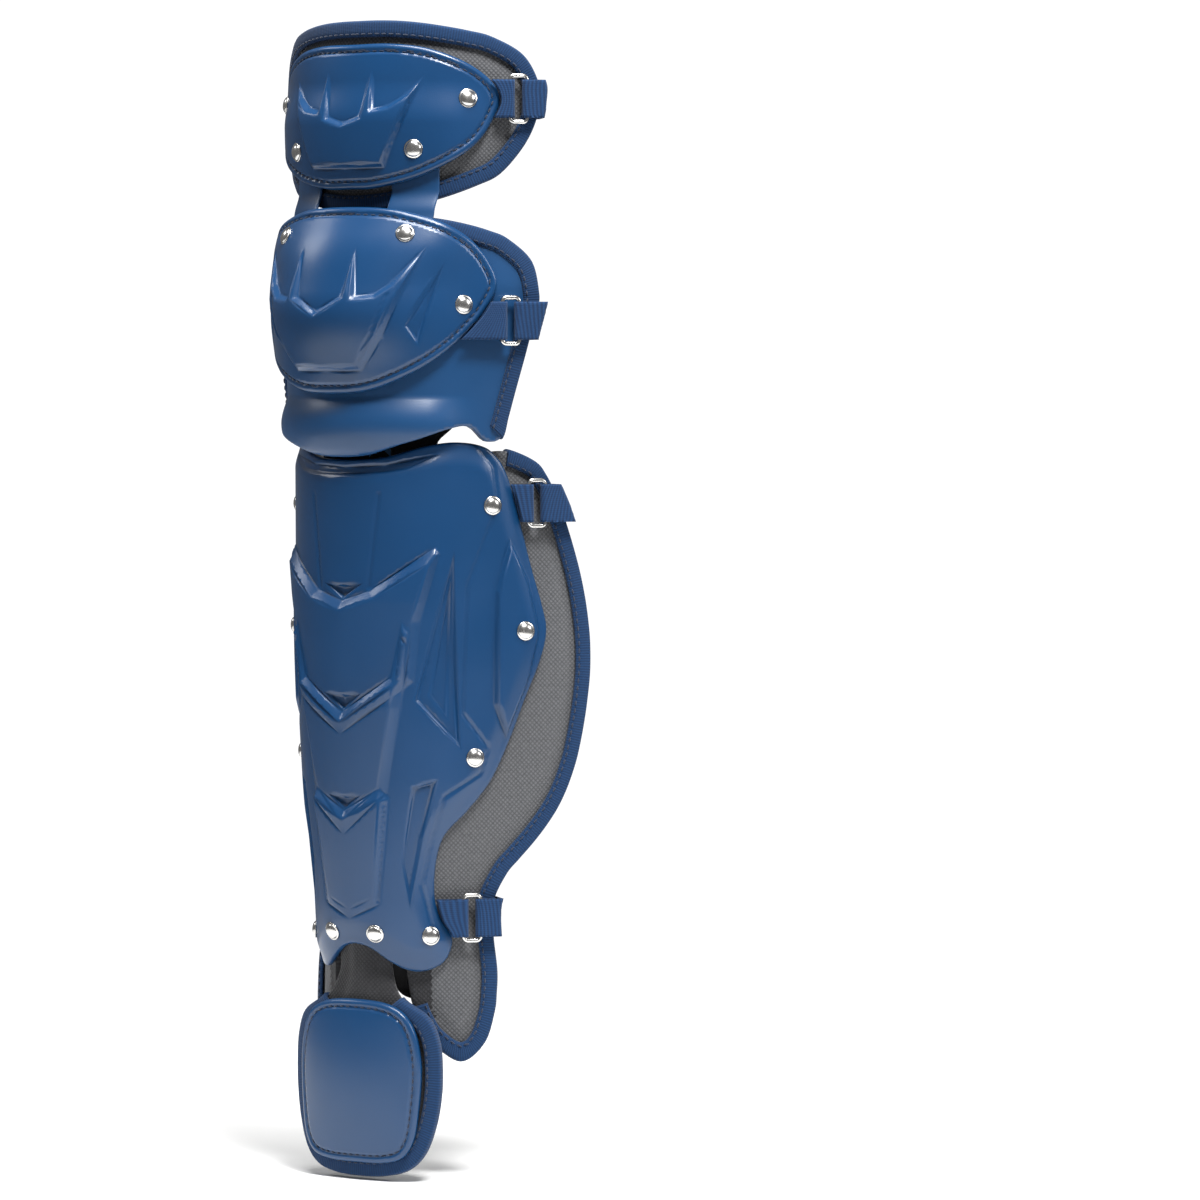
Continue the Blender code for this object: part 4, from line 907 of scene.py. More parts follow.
def loft_mesh(rings, lengths, closed):
    """A tube through rings of points; the UV map runs along and round it, in metres."""
    count, sides = rings.shape[:2]
    last = count if closed else count - 1
    ring, side = np.meshgrid(np.arange(last), np.arange(sides), indexing="ij")
    ahead, after = (ring + 1) % count, (side + 1) % sides
    quads = np.stack([ring * sides + side, ring * sides + after, ahead * sides + after,
                      ahead * sides + side], -1)
    faces = quads.reshape(-1, 4).tolist()
    if not closed:
        faces += [list(range(sides))[::-1], [last * sides + i for i in range(sides)]]
    mesh = bpy.data.meshes.new("loft")
    mesh.from_pydata(rings.reshape(-1, 3).tolist(), [], faces)
    girth = np.concatenate([[0], np.cumsum(np.linalg.norm(np.diff(rings[0], axis=0), axis=1))])
    step = lengths[-1] / max(1, count - 1)
    flat_map = mesh.uv_layers.new(name="pattern")
    for polygon in mesh.polygons[:last * sides]:
        here = polygon.index // sides
        for loop_index in polygon.loop_indices:
            vertex = mesh.loops[loop_index].vertex_index
            at = vertex // sides
            along = lengths[at] if at >= here else lengths[-1] + step
            flat_map.data[loop_index].uv = (along, girth[vertex % sides])
    shape = bmesh.new()
    shape.from_mesh(mesh)
    bmesh.ops.triangulate(shape, faces=[face for face in shape.faces if len(face.verts) > 4],
                          ngon_method="EAR_CLIP")
    bmesh.ops.recalc_face_normals(shape, faces=shape.faces[:])
    shape.to_mesh(mesh)
    shape.free()
    mesh.polygons.foreach_set("use_smooth", np.ones(len(mesh.polygons), dtype=bool))
    return mesh


# %% [markdown]
# The thigh pad is bound all the way round, and its inner face has a second sewn oval.

# %% The thigh pad
THIGH_PAD_OUTLINE = (
    (0, 1), (0.25, 0.995), (0.50, 0.965), (0.76, 0.91), (0.92, 0.82), (1.00, 0.68),
    (0.985, 0.47), (0.92, 0.34), (0.80, 0.20), (0.55, 0.09), (0.30, 0.03), (0, 0),
)
thigh_pad = pad_lines(THIGH_PAD_OUTLINE, 104 * MM, THIGH_PAD_BASE, THIGH_PAD_HEIGHT)
thigh_foam = pad_mesh(thigh_form, thigh_pad, level_surface(0.0), PAD_THICKNESS, 2.0 * MM,
                      sewn_panel=20 * MM)
show("thigh_pad_foam", thigh_foam, [wing_cloth, inner_mesh], ["thigh_pad"])
thigh_picks = range(len(thigh_pad["edge"]))
show("thigh_binding_tape", binding_mesh(thigh_form, thigh_pad, thigh_picks, True, PAD_THICKNESS),
     [binding_tape], ["thigh_binding"])

# %% [markdown]
# The knee pad has a smooth skin pressed over its foam, and a roll under the cap where it bends.

# %% The knee pad
KNEE_PAD_OUTLINE = (
    (0, 1), (0.32, 0.985), (0.60, 0.95), (0.82, 0.89), (0.95, 0.80), (1.00, 0.67),
    (0.97, 0.52), (0.92, 0.34), (0.87, 0.17), (0.835, 0.080), (0.76, 0.065), (0.68, 0.125),
    (0.56, 0.115), (0.42, 0.075), (0.28, 0.04), (0.15, 0.008), (0, 0),
)
KNEE_TIP_ROW = 9
KNEE_PAD_REACH = 114 * MM
ROLL_HEIGHT, ROLL_TOP, ROLL_TUCK, ROLL_LIP = 5 * MM, 0.95, 1.6 * MM, 0.12
ROLL_REACH, ROLL_FADE = 0.45, 0.3


def knee_roll(spots):
    """The moulded roll across the front of the knee pad, under the cap."""
    rise = (spots[:, 1] - KNEE_PAD_BASE) / (KNEE_PLATE_BASE - KNEE_PAD_BASE)
    beside = 1 - ease((np.abs(spots[:, 0]) / KNEE_PAD_REACH - ROLL_REACH) / ROLL_FADE)
    lip = ease(rise / ROLL_LIP)
    swell = np.sin(np.clip(rise, 0, ROLL_TOP) / ROLL_TOP * math.pi)
    return ROLL_HEIGHT * beside * swell - ROLL_TUCK * (1 - lip)


knee_pad = pad_lines(KNEE_PAD_OUTLINE, KNEE_PAD_REACH, KNEE_PAD_BASE, KNEE_PAD_HEIGHT)
knee_tip = knee_pad["marks"][KNEE_TIP_ROW]
knee_picks = range(-knee_tip, knee_tip + 1)
show("knee_pad_foam", pad_mesh(knee_form, knee_pad, knee_roll, PAD_THICKNESS, 1.8 * MM, bare=True),
     [roll_plastic, inner_mesh], ["knee_pad"])
show("knee_binding_tape", binding_mesh(knee_form, knee_pad, knee_picks, False, PAD_THICKNESS),
     [binding_tape], ["knee_binding"])

# %% [markdown]
# The shin pad carries the long wings beside the calf and the two ears beside the ankle. Each side
# has its own length of tape, from the top of the wing to the inside of the ear.

# %% The shin pad
SHIN_PAD_OUTLINE = (
    (0, 0.95), (0.18, 0.95), (0.33, 0.955), (0.48, 0.962), (0.66, 0.968), (0.77, 0.95),
    (0.86, 0.895), (0.96, 0.77), (1.00, 0.66), (0.985, 0.57), (0.93, 0.47), (0.85, 0.40),
    (0.74, 0.345), (0.62, 0.295), (0.56, 0.25), (0.55, 0.195), (0.555, 0.14), (0.54, 0.075),
    (0.50, 0.028), (0.41, 0.0), (0.30, 0.030), (0.225, 0.085), (0.20, 0.16), (0.19, 0.238),
    (0, 0.255),
)
WING_TOP_ROW, EAR_END_ROW = 4, 21
shin_pad = pad_lines(SHIN_PAD_OUTLINE, 140 * MM, EAR_BASE, SHIN_PAD_HEIGHT)
wing_top, ear_end = shin_pad["marks"][WING_TOP_ROW], shin_pad["marks"][EAR_END_ROW]
shin_picks = {"right": range(wing_top, ear_end + 1), "left": range(-ear_end, -wing_top + 1)}
TONGUE_REACH, TONGUE_TOP, TONGUE_TAPER = 42 * MM, 170 * MM, 60 * MM
shin_foam = pad_mesh(shin_form, shin_pad, level_surface(0.0), PAD_THICKNESS, 2.4 * MM)
for polygon in shin_foam.polygons:
    across, up = shin_foam.uv_layers["pattern"].data[polygon.loop_start].uv
    tongue = abs(across) < TONGUE_REACH * ease((TONGUE_TOP - up) / TONGUE_TAPER)
    if tongue and polygon.material_index == 0:
        polygon.material_index = 2
show("shin_pad_foam", shin_foam, [wing_cloth, inner_mesh, neck_cloth], ["shin_pad"])
for hand, picks in shin_picks.items():
    show(f"shin_binding_tape_{hand}", binding_mesh(shin_form, shin_pad, picks, False, PAD_THICKNESS),
         [binding_tape], [f"shin_binding_{hand}"])

# %% [markdown]
# The toe flap hangs from the shin on a narrow charcoal neck and widens into the toe shield.

# %% The toe flap
TOE_PAD_OUTLINE = (
    (0, 1), (0.36, 1.00), (0.38, 0.90), (0.40, 0.77), (0.52, 0.68), (0.84, 0.61), (0.97, 0.52),
    (1.00, 0.42), (0.99, 0.31), (0.93, 0.20), (0.81, 0.095), (0.62, 0.032), (0.34, 0.006), (0, 0),
)
NECK_END_ROW = 4
toe_pad = pad_lines(TOE_PAD_OUTLINE, 50 * MM, 0, TOE_FLAP_HEIGHT)
neck_end = toe_pad["marks"][NECK_END_ROW]
toe_picks = range(neck_end, len(toe_pad["edge"]) - neck_end + 1)
show("toe_pad_foam", pad_mesh(toe_form, toe_pad, level_surface(-SEAT_GAP), TOE_PAD_THICKNESS, 1.6 * MM),
     [neck_cloth, neck_mesh], ["toe_pad"])
show("toe_binding_tape", binding_mesh(toe_form, toe_pad, toe_picks, False, TOE_PAD_THICKNESS),
     [binding_tape], ["toe_binding"])

# %% [markdown]
# The liner is what touches the leg: thick black foam with a ridge each side of the shin, a channel
# between them, and a round cup for the kneecap with creases that fan out from it.

# %% The liner
LINER_BASE, LINER_HEIGHT, LINER_REACH = 96 * MM, 429 * MM, 121 * MM
LINER_SEAT, LINER_THICKNESS, LINER_CREST = 9.3 * MM, 7 * MM, 4 * MM
LINER_OUTLINE = (
    (0, 1), (0.28, 0.995), (0.50, 0.985), (0.68, 0.965), (0.77, 0.93), (0.79, 0.88),
    (0.73, 0.815), (0.60, 0.765), (0.44, 0.722), (0.50, 0.690), (0.74, 0.662), (0.90, 0.611),
    (0.98, 0.530), (1.00, 0.448), (0.95, 0.361), (0.83, 0.275), (0.68, 0.200), (0.56, 0.126),
    (0.51, 0.072), (0.45, 0.020), (0.36, 0.0), (0.23, 0.006), (0.10, 0.033), (0, 0.054),
)
CUP_RADIUS = 0.22 * LINER_REACH
PIPING, PIPING_HALF, PIPING_ROUND = 5 * MM, 1.4 * MM, 0.6
CREASE_COUNT, CREASE_SHARPNESS = 14, 8
FAN_DEPTH, CHANNEL_DEPTH, PIPING_DEPTH, ROUND_DEPTH = 1.6 * MM, 1.8 * MM, 1.6 * MM, 2.4 * MM
RIDGE_ACROSS, RIDGE_WIDTH, CHANNEL_WIDTH, CUP_RING = 0.26, 0.14, 0.035, 0.35
RIDGE_SHARE, RING_SHARE = 0.8, 0.45
liner_loop = finer(closed_loop(rounded_half(LINER_OUTLINE, LINER_REACH, LINER_BASE, LINER_HEIGHT,
                                            EDGE_SPACING)[0]), ROUNDING // 2)


def liner_face(spots):
    """The padded face that meets the leg."""
    across, up = spots[:, 0] / LINER_REACH, (spots[:, 1] - LINER_BASE) / LINER_HEIGHT
    length = ease((0.62 - up) / 0.1) * ease((up - 0.02) / 0.1)
    ridges = np.exp(-((np.abs(across) - RIDGE_ACROSS) / RIDGE_WIDTH) ** 2) * length
    from_cup = spots - (0, KNEE_PLATE_BASE + 0.25 * KNEE_PLATE_HEIGHT)
    cup = np.hypot(*from_cup.T)
    ring = np.exp(-((cup / CUP_RADIUS - 1) / CUP_RING) ** 2)
    upper = ease((up - 0.68) / 0.05)
    creases = np.cos(np.arctan2(from_cup[:, 1], from_cup[:, 0]) * CREASE_COUNT) ** CREASE_SHARPNESS
    fan = creases * ease((cup / CUP_RADIUS - 1.05) / 0.2) * ease((2.1 - cup / CUP_RADIUS) / 0.7) * upper
    channel = np.exp(-(across / CHANNEL_WIDTH) ** 2)
    channel *= ease((0.66 - up) / 0.05) * ease((up - 0.09) / 0.05)
    edge = edge_distance(liner_loop, spots)
    piping = 1 - ease(np.abs(edge - PIPING) / PIPING_HALF)
    rounding = 1 - ease(edge / (PIPING_ROUND * PIPING))
    low = FAN_DEPTH * fan + CHANNEL_DEPTH * channel + PIPING_DEPTH * piping + ROUND_DEPTH * rounding
    crest = LINER_CREST * (RIDGE_SHARE * ridges + RING_SHARE * ring * upper)
    return -LINER_SEAT - LINER_THICKNESS - crest + low


liner_foam = wall_mesh(liner_form, liner_loop, [inset_loop(liner_loop, 1.6 * MM)],
                       level_surface(-LINER_SEAT), liner_face, 2.2 * MM)
show("liner_foam", liner_foam, [liner_knit, liner_knit], ["leg_liner"])

# %% [markdown]
# Straps clip to wire rings down one side. A short webbing tab holds each ring at the plate's edge,
# and a tail folds through the ring and round the edge of the pad. Webbing keeps its width and only
# bends one way, so it is modelled as a section of even thickness carried across its width.

# %% Webbing, rings and hinge tabs
BINDING_OUT = SEAT_GAP + CLOTH
RING_LENGTH, RING_WIDTH, RING_WIRE = 28 * MM, 12 * MM, 1.3 * MM
RING_TURN = 2.4 * MM
STRAP_WIDTH, STRAP_TURN = 21 * MM, 9 * MM
STRAP_ROWS = 15
LEAST_TAB_POINTS, TAIL_POINTS = 64, 120
STRAP_LIFT = BINDING_OUT + PLATE_SEAT + CLOTH + SEAT_GAP + RING_WIRE


def edge_at(loop, up):
    """The furthest reach of an outline on the +X side at a height."""
    start, end = loop, np.roll(loop, -1, axis=0)
    crosses = (start[:, 1] - up) * (end[:, 1] - up) <= 0
    crosses &= start[:, 1] != end[:, 1]
    start, end = start[crosses], end[crosses]
    return float((start[:, 0] + (end - start)[:, 0] * (up - start[:, 1]) / (end - start)[:, 1]).max())


def arc(middle, radius, start, end, lift=0.0):
    """Points of an arc in the plane of a strap's section."""
    return [(middle + radius * math.cos(a), lift + radius * math.sin(a))
            for a in np.linspace(start, end, 13)]


def filled(section, step=2 * MM):
    """Add points along the straight runs of a section."""
    points = []
    for here, after in zip(section, section[1:] + section[:1]):
        count = max(1, int(math.dist(here, after) / step))
        points += [tuple(np.array(here) + (np.array(after) - here) * i / count) for i in range(count)]
    return points


def even(section, count):
    """Resample a closed section to a set number of points, from its own first point."""
    points = np.vstack([section, section[:1]])
    run = np.concatenate([[0], np.cumsum(np.linalg.norm(np.diff(points, axis=0), axis=1))])
    at = np.linspace(0, run[-1], count, endpoint=False)
    return np.stack([np.interp(at, run, points[:, 0]), np.interp(at, run, points[:, 1])], axis=1)


def webbing_mesh(near_form, far_form, split, levels, sections):
    """Loft a webbing section across its width; beyond the split it follows the far form."""
    rings = []
    for up, section in zip(levels, sections):
        across, out = np.array(section).T
        ring = wrap(near_form, across, up, out)
        far = across > split
        ring[far] = wrap(far_form, across[far], up, out[far])
        rings.append(ring)
    return loft_mesh(np.array(rings), list(levels - levels[0]), False)


def rounded_box(half_width, half_height, radius, steps):
    """A rectangle with round corners, from the width and height between its corners' middles."""
    points = []
    for quarter, (sx, sz) in enumerate(((1, 1), (-1, 1), (-1, -1), (1, -1))):
        for turn in np.linspace(quarter, quarter + 1, steps) * math.pi / 2:
            points.append((sx * half_width + radius * math.cos(turn),
                           sz * half_height + radius * math.sin(turn)))
    return np.array(points)


def ring_mesh(form, middle, level):
    """A rectangular ring bent from round wire."""
    flat = rounded_box(RING_WIDTH / 2 - RING_WIRE - RING_TURN, RING_LENGTH / 2 - RING_WIRE - RING_TURN,
                       RING_TURN, 7)
    curve = bpy.data.curves.new("wire", "CURVE")
    curve.dimensions = "3D"
    curve.bevel_depth = RING_WIRE
    curve.bevel_resolution = 4
    spline = curve.splines.new("POLY")
    spline.points.add(len(flat) - 1)
    places = wrap(form, middle + flat[:, 0], level + flat[:, 1], STRAP_LIFT)
    spline.points.foreach_set("co", np.column_stack([places, np.ones(len(places))]).ravel())
    spline.use_cyclic_u = True
    holder = bpy.data.objects.new("wire", curve)
    bpy.context.scene.collection.objects.link(holder)
    mesh = bpy.data.meshes.new_from_object(holder.evaluated_get(bpy.context.evaluated_depsgraph_get()))
    bpy.data.objects.remove(holder, do_unlink=True)
    mesh.shade_smooth()
    return mesh


def strap_station(prefix, form, plate_loop, pad_loop, level):
    """A webbing tab, a wire ring and a strap tail over the pad's edge."""
    levels = np.linspace(level - STRAP_WIDTH / 2, level + STRAP_WIDTH / 2, STRAP_ROWS)
    plate_edge = [edge_at(plate_loop, up) for up in levels]
    pad_edge = [edge_at(pad_loop, up) for up in levels]
    slant = math.hypot(1, (pad_edge[-1] - pad_edge[0]) / STRAP_WIDTH)
    coarse = [edge_at(plate_loop, level + STRAP_WIDTH * share) for share in (-0.5, -0.25, 0, 0.25, 0.5)]
    middle = (max(coarse) + min(pad_edge)) / 2
    front_bar, rear_bar = middle - RING_WIDTH / 2 + RING_WIRE, middle + RING_WIDTH / 2 - RING_WIRE
    front, radius, wing = (float(size) for size in form(level))
    bars = plain_form(front, radius, wing)
    inner, outer = RING_WIRE + SEAT_GAP, RING_WIRE + SEAT_GAP + CLOTH
    show(f"{prefix}_ring_wire", ring_mesh(bars, middle, level), [nickel], [f"{prefix}_ring"])
    tabs, tails = [], []
    quarter = math.pi / 2
    for edge, pad_reach in zip(plate_edge, pad_edge):
        root = min(edge + SEAT_GAP, front_bar - 2 * RING_WIRE)
        flat_tab = ([(root, outer)] + arc(front_bar, outer, quarter, -quarter)
                    + [(root, -outer), (root, -inner)] + arc(front_bar, inner, -quarter, quarter)
                    + [(root, inner)])
        tabs.append([(across, STRAP_LIFT + out) for across, out in filled(flat_tab)])
        wrapped = pad_reach + (2 * BINDING_OUT + SEAT_GAP) * slant
        under = -PAD_THICKNESS - BINDING_OUT - SEAT_GAP
        tuck, over = wrapped - STRAP_TURN, wrapped + CLOTH
        tails.append([(wrapped, under), (tuck, under), (tuck, under - CLOTH), (over, under - CLOTH),
                      (over, STRAP_LIFT + inner), (wrapped, STRAP_LIFT + outer)]
                     + arc(rear_bar, outer, quarter, 3 * quarter, STRAP_LIFT)
                     + [(wrapped - 2 * CLOTH, STRAP_LIFT - outer), (wrapped - 2 * CLOTH, STRAP_LIFT - inner)]
                     + arc(rear_bar, inner, 3 * quarter, quarter, STRAP_LIFT)
                     + [(wrapped - CLOTH, STRAP_LIFT + inner), (wrapped, STRAP_LIFT)])
    tab_points = max(min(len(section) for section in tabs), LEAST_TAB_POINTS)
    tab = webbing_mesh(form, bars, root, levels, [even(section, tab_points) for section in tabs])
    tail = webbing_mesh(bars, form, rear_bar, levels, [even(section, TAIL_POINTS) for section in tails])
    show(f"{prefix}_tab_webbing", tab, [strap_webbing], [f"{prefix}_strap_tab"])
    show(f"{prefix}_tail_webbing", tail, [strap_webbing], [f"{prefix}_strap_tail"])


def hinge_tab(side):
    """A flat strap from under the knee cap to under the thigh plate, with rounded edges."""
    low, high = KNEE_PAD_BASE + KNEE_PAD_HEIGHT - KNEE_LAP, THIGH_PLATE_BASE + THIGH_LAP
    corners = rounded_box(TAB_WIDTH / 2 - TAB_ROUNDING, TAB_THICKNESS / 2 - TAB_ROUNDING, TAB_ROUNDING, 5)
    section = [(across, TAB_THICKNESS / 2 + out) for across, out in corners]
    across, out = np.array(filled(section, 1.5 * MM)).T
    levels = np.linspace(low, high, 40)
    rings = np.array([wrap(hinge_form, side * (TAB_ACROSS + across), up, BINDING_OUT + SEAT_GAP + out)
                      for up in levels])
    return loft_mesh(rings, list(levels - low), False)


STATIONS = {
    "thigh": (thigh_form, thigh_loop, thigh_pad, THIGH_PLATE_BASE + 0.62 * THIGH_PLATE_HEIGHT),
    "knee": (knee_form, knee_loop, knee_pad, KNEE_PLATE_BASE + 0.39 * KNEE_PLATE_HEIGHT),
    "calf": (shin_form, shell_loop, shin_pad, SHELL_BASE + 0.885 * SHELL_HEIGHT),
    "ankle": (shin_form, shell_loop, shin_pad, SHELL_BASE + 0.100 * SHELL_HEIGHT),
}
for prefix, (form, loop, pad, level) in STATIONS.items():
    strap_station(prefix, form, loop, pad["edge"], level)
for hand, side in (("left", -1), ("right", 1)):
    show(f"hinge_strip_{hand}", hinge_tab(side), [roll_plastic], [f"hinge_tab_{hand}"])

# %% [markdown]
# Rivets and stitches repeat, so Geometry Nodes place them. The input is a mesh of loose points, and
# each point carries two directions: along the seam, and out of the surface. One tree turns a small
# shape to those directions at every point, makes the copies real and gives them their material.

# %% A tree that sets a small shape on every point
def start_tree(name, sizes):
    tree = bpy.data.node_groups.new(name, "GeometryNodeTree")
    tree.interface.new_socket("Geometry", in_out="INPUT", socket_type="NodeSocketGeometry")
    for size in sizes:
        tree.interface.new_socket(size, in_out="INPUT", socket_type="NodeSocketFloat")
    tree.interface.new_socket("Material", in_out="INPUT", socket_type="NodeSocketMaterial")
    tree.interface.new_socket("Geometry", in_out="OUTPUT", socket_type="NodeSocketGeometry")
    return tree, add_node(tree, "NodeGroupInput")


def finish_tree(tree, inputs, shape):
    """Copy the shape to each point, turned to the directions stored there."""
    along, out = (add_node(tree, "GeometryNodeInputNamedAttribute", data_type="FLOAT_VECTOR", Name=name)
                  for name in ("along", "out"))
    ahead = add_node(tree, "FunctionNodeAlignRotationToVector", axis="X", Vector=along.outputs[0])
    turned = add_node(tree, "FunctionNodeAlignRotationToVector", axis="Z", pivot_axis="X",
                      Rotation=ahead.outputs[0], Vector=out.outputs[0])
    copies = add_node(tree, "GeometryNodeInstanceOnPoints", Points=inputs.outputs["Geometry"],
                      Instance=shape, Rotation=turned.outputs[0])
    real = add_node(tree, "GeometryNodeRealizeInstances", Geometry=copies.outputs[0])
    smooth = add_node(tree, "GeometryNodeSetShadeSmooth", Geometry=real.outputs[0])
    coloured = add_node(tree, "GeometryNodeSetMaterial", Geometry=smooth.outputs[0],
                        Material=inputs.outputs["Material"])
    add_node(tree, "NodeGroupOutput", Geometry=coloured.outputs[0])


def sized_ball(tree, inputs, segments, rings, sizes):
    """A ball stretched by three of the tree's own sizes."""
    ball = add_node(tree, "GeometryNodeMeshUVSphere", Segments=segments, Rings=rings, Radius=1.0)
    scale = add_node(tree, "ShaderNodeCombineXYZ", *(inputs.outputs[size] for size in sizes))
    stretched = add_node(tree, "GeometryNodeTransform", Geometry=ball.outputs["Mesh"],
                         Scale=scale.outputs[0])
    return stretched.outputs[0]


stitch_tree, stitch_inputs = start_tree("stitch_on_points", ("Half Length", "Half Width"))
stitch = sized_ball(stitch_tree, stitch_inputs, 8, 6, ("Half Length", "Half Width", "Half Width"))
finish_tree(stitch_tree, stitch_inputs, stitch)

FLANGE_SHARE = 0.36
rivet_tree, rivet_inputs = start_tree("rivet_on_points", ("Radius", "Rise", "Flange"))
dome = sized_ball(rivet_tree, rivet_inputs, 28, 16, ("Radius", "Radius", "Rise"))
flange = sized_ball(rivet_tree, rivet_inputs, 28, 8, ("Flange", "Flange", "Rise"))
low_flange = add_node(rivet_tree, "GeometryNodeTransform", Geometry=flange, Scale=(1.0, 1.0, FLANGE_SHARE))
both = add_node(rivet_tree, "GeometryNodeJoinGeometry")
for part in (dome, low_flange.outputs[0]):
    rivet_tree.links.new(part, both.inputs[0])
finish_tree(rivet_tree, rivet_inputs, both.outputs[0])


def copies_mesh(tree, points, along, out, values, material):
    """Run a tree on a set of points and return its result as a plain mesh."""
    seeds = bpy.data.meshes.new("seeds")
    seeds.from_pydata(points.tolist(), [], [])
    for label, vectors in (("along", along), ("out", out)):
        seeds.attributes.new(label, "FLOAT_VECTOR", "POINT").data.foreach_set("vector", vectors.ravel())
    holder = bpy.data.objects.new("seeds", seeds)
    bpy.context.scene.collection.objects.link(holder)
    modifier = holder.modifiers.new("copies", "NODES")
    modifier.node_group = tree
    sockets = {item.name: item.identifier for item in tree.interface.items_tree if item.in_out == "INPUT"}
    for label, value in {**values, "Material": material}.items():
        modifier[sockets[label]] = value
    mesh = bpy.data.meshes.new_from_object(holder.evaluated_get(bpy.context.evaluated_depsgraph_get()))
    bpy.data.objects.remove(holder, do_unlink=True)
    return mesh


# %% [markdown]
# Each rivet is seated on the plate's own surface, square to it, with its flange just sunk in.

# %% Rivets
THIGH_RIVETS = ((0.78, 0.62), (0.45, 0.27))
KNEE_RIVETS = ((0.42, 0.855), (0.79, 0.475))
SHELL_RIVETS = ((0.71, 0.881), (0.87, 0.644), (0.61, 0.405), (0.115, 0.072), (0.36, 0.068))
RIVET_SETS = (
    (THIGH_RIVETS, thigh_form, thigh_surface, THIGH_PLATE_REACH, THIGH_PLATE_BASE, THIGH_PLATE_HEIGHT),
    (KNEE_RIVETS, knee_form, knee_surface, KNEE_PLATE_REACH, KNEE_PLATE_BASE, KNEE_PLATE_HEIGHT),
    (SHELL_RIVETS, shin_form, shell_surface, SHELL_REACH, SHELL_BASE, SHELL_HEIGHT),
)
RIVET_RADIUS, RIVET_RISE, RIVET_FLANGE, RIVET_PROUD = 4.5 * MM, 2.3 * MM, 5.4 * MM, 0.2 * MM


def surface_directions(form, surface, places, reach):
    """The point, sideways direction and outward direction of a surface at each place."""
    steps = [places + np.array(step) * reach for step in ((-1, 0), (1, 0), (0, -1), (0, 1), (0, 0))]
    left, right, low, high, middle = (wrap(form, spots[:, 0], spots[:, 1], surface(spots))
                                      for spots in steps)
    side = right - left
    out = np.cross(side, high - low)
    side, out = (vectors / np.linalg.norm(vectors, axis=1)[:, None] for vectors in (side, out))
    return middle, side, out


def rivets_mesh():
    found = []
    for table, form, surface, reach, base, height in RIVET_SETS:
        pairs = [(side * share, rise) for share, rise in table for side in (-1, 1)]
        places = placed(pairs, reach, base, height)
        found.append(surface_directions(form, surface, places, RIVET_RADIUS))
    points, along, out = (np.concatenate(parts) for parts in zip(*found))
    return copies_mesh(rivet_tree, points + out * RIVET_PROUD, along, out,
                       {"Radius": RIVET_RADIUS, "Rise": RIVET_RISE, "Flange": RIVET_FLANGE}, nickel)


rivet_nodes = [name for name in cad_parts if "rivet" in name]
show("rivet_heads", rivets_mesh(), [], rivet_nodes)

# %% [markdown]
# The seams are lock-stitched: a tight row of short dashes just inside each bound edge, front and
# back, and one in the groove of each stitched plate. A stitch is 3 mm long and the gap 1.2 mm.

# %% Stitches
STITCH_PITCH = 4.2 * MM
STITCH_SIZES = {"Half Length": 1.5 * MM, "Half Width": 0.5 * MM}
TAPE_SEAM, TAPE_PROUD, GROOVE_PROUD = 0.78, 0.15 * MM, 0.45 * MM
NEAR_STEP = 0.8 * MM


def spaced(line, closed):
    """Places at the stitch pitch along a line."""
    points = np.vstack([line, line[:1]]) if closed else line
    run = np.concatenate([[0], np.cumsum(np.linalg.norm(np.diff(points, axis=0), axis=1))])
    at = np.arange(STITCH_PITCH / 2, run[-1], STITCH_PITCH)
    return np.stack([np.interp(at, run, points[:, axis]) for axis in (0, 1)], axis=1)


def seam(form, line, closed, surface, facing):
    """Points and directions of a row of stitches on a surface; facing -1 is the inner side."""
    places = spaced(line, closed)
    middle, _, out = surface_directions(form, surface, places, NEAR_STEP)
    ahead = np.vstack([places[1:], 2 * places[-1] - places[-2]])
    along = wrap(form, ahead[:, 0], ahead[:, 1], surface(ahead)) - middle
    return middle, along / np.linalg.norm(along, axis=1)[:, None], out * facing


def tape_seams(form, pad, picks, closed, thickness):
    line = np.array([pad["edge"][i] + (pad["sewn"][i] - pad["edge"][i]) * TAPE_SEAM for i in picks])
    proud = BINDING_OUT * 1.04 + TAPE_PROUD
    return [seam(form, line, closed, level_surface(proud), 1),
            seam(form, line, closed, level_surface(-thickness - proud), -1)]


def groove_seam(form, loop, surface):
    line = inset_loop(loop, GROOVE_INSET)
    return [seam(form, line, True, lambda spots: surface(spots) + GROOVE_PROUD, 1)]


def stitches_mesh(seams):
    points, along, out = (np.concatenate(parts) for parts in zip(*seams))
    print(len(points), "stitches")
    return copies_mesh(stitch_tree, points, along, out, STITCH_SIZES, thread)


SEAMS = {
    "thigh": tape_seams(thigh_form, thigh_pad, thigh_picks, True, PAD_THICKNESS)
    + groove_seam(thigh_form, thigh_loop, thigh_surface),
    "knee": tape_seams(knee_form, knee_pad, knee_picks, False, PAD_THICKNESS)
    + groove_seam(knee_form, knee_loop, knee_surface),
    "shin": tape_seams(shin_form, shin_pad, shin_picks["right"], False, PAD_THICKNESS)
    + tape_seams(shin_form, shin_pad, shin_picks["left"], False, PAD_THICKNESS),
    "toe": tape_seams(toe_form, toe_pad, toe_picks, False, TOE_PAD_THICKNESS)
    + groove_seam(toe_form, toe_loop, toe_surface),
}
for part, seams in SEAMS.items():
    mesh = stitches_mesh(seams)
    mesh.name = f"{part}_seam_stitches"
    piece = bpy.data.objects.new(mesh.name, mesh)
    bpy.context.scene.collection.objects.link(piece)
    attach(piece, "root")

# %% [markdown]
# The stage is a pale floor under a white studio, open all round, so that the guard can be seen from
# behind too. Four soft lamps light it: the key above and to the right of the camera, one overhead that
# picks out the chevrons, one at the side that skims the wings, and a weak one at the left.

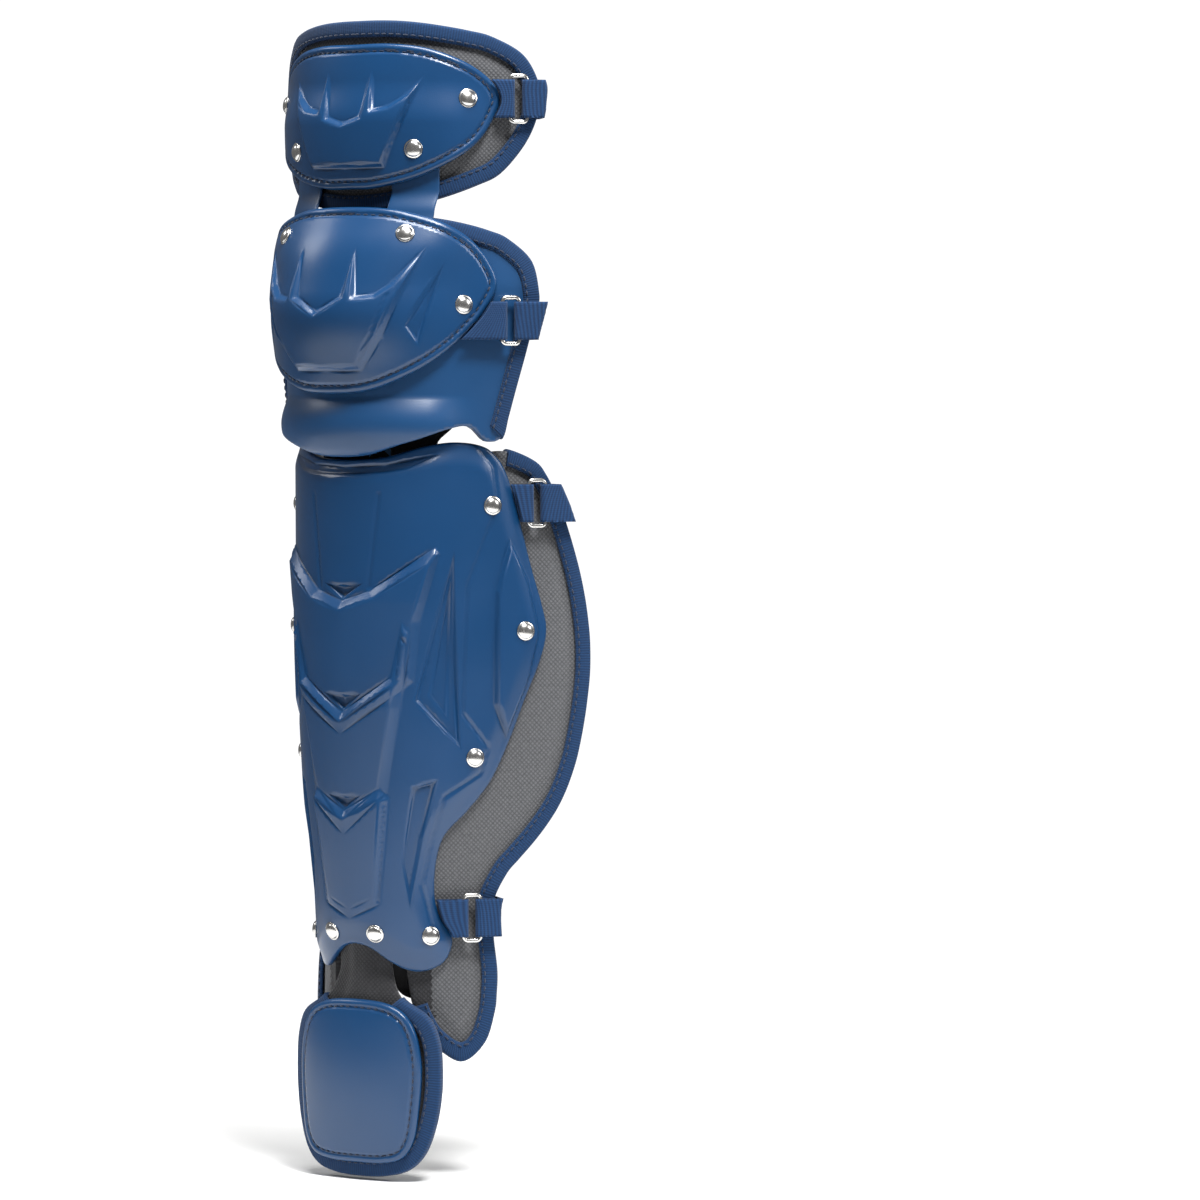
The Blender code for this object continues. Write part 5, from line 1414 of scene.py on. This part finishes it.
# %% Stage, light and camera
# name, azimuth, elevation, distance, size and watts
LAMPS = (("key_lamp", 60, 58, 2.2, 0.6, 58), ("top_lamp", 32, 80, 2.0, 1.0, 46),
         ("side_lamp", 112, 25, 2.4, 0.9, 16), ("left_lamp", -70, 40, 2.4, 0.8, 9))
FLOOR_LEVEL = -0.303
FLOOR_RADIUS = 0.9
WORLD_LIGHT, WORLD_SEEN = 0.18, 1.1


def build_stage():
    """A round pale floor; its rim melts into the white behind it."""
    mesh = bpy.data.meshes.new("floor")
    shape = bmesh.new()
    bmesh.ops.create_circle(shape, cap_ends=True, segments=96, radius=FLOOR_RADIUS)
    shape.transform(Matrix.Translation((0, 0, FLOOR_LEVEL)))
    shape.to_mesh(mesh)
    shape.free()
    floor = bpy.data.objects.new("floor", mesh)
    bpy.context.scene.collection.objects.link(floor)
    mesh.materials.append(new_material("white_paper", Roughness=0.9, Base_Color=linear("#f8f8f7"))[0])


def build_world():
    """White where the camera looks past the floor, and a weaker soft light on the guard."""
    world = bpy.data.worlds.new("studio")
    world.use_nodes = True
    tree = world.node_tree
    background = tree.nodes["Background"]
    background.inputs["Color"].default_value = linear("#fdfdfe")
    seen = add_node(tree, "ShaderNodeLightPath").outputs["Is Camera Ray"]
    strength = add_node(tree, "ShaderNodeMapRange", Value=seen, To_Min=WORLD_LIGHT, To_Max=WORLD_SEEN)
    tree.links.new(strength.outputs[0], background.inputs["Strength"])
    bpy.context.scene.world = world


def add_lamp(name, azimuth, elevation, distance, size, power):
    """An area lamp aimed at the guard from an azimuth seen from the front."""
    lamp = bpy.data.lights.new(name, "AREA")
    lamp.shape = "DISK"
    lamp.size = size
    lamp.energy = power
    turn, tilt = math.radians(azimuth), math.radians(elevation)
    away = Vector((math.sin(turn) * math.cos(tilt), -math.cos(turn) * math.cos(tilt), math.sin(tilt)))
    holder = bpy.data.objects.new(name, lamp)
    holder.location = away * distance
    holder.rotation_euler = (-away).to_track_quat("-Z", "Y").to_euler()
    bpy.context.scene.collection.objects.link(holder)


def add_camera():
    """A long lens at the photograph's angle; the guard stands left of the frame's middle."""
    azimuth, elevation, distance = math.radians(35), math.radians(2), 3.2
    frame_width, right_of_line, above_seat = 0.669, 0.1294, 0.020
    right = Vector((math.cos(azimuth), math.sin(azimuth), 0))
    forward = Vector((-math.sin(azimuth) * math.cos(elevation), math.cos(azimuth) * math.cos(elevation),
                      -math.sin(elevation)))
    camera = bpy.data.cameras.new("camera")
    camera.sensor_width = 36
    camera.lens = camera.sensor_width * distance / frame_width
    holder = bpy.data.objects.new("camera", camera)
    aim = right * right_of_line + Vector((0, 0, above_seat))
    holder.location = aim - forward * distance
    holder.rotation_euler = forward.to_track_quat("-Z", "Y").to_euler()
    bpy.context.scene.collection.objects.link(holder)
    bpy.context.scene.camera = holder


build_stage()
for lamp_row in LAMPS:
    add_lamp(*lamp_row)
build_world()
bpy.context.scene.view_settings.view_transform = "Standard"
add_camera()
print("stage: floor at", FLOOR_LEVEL)
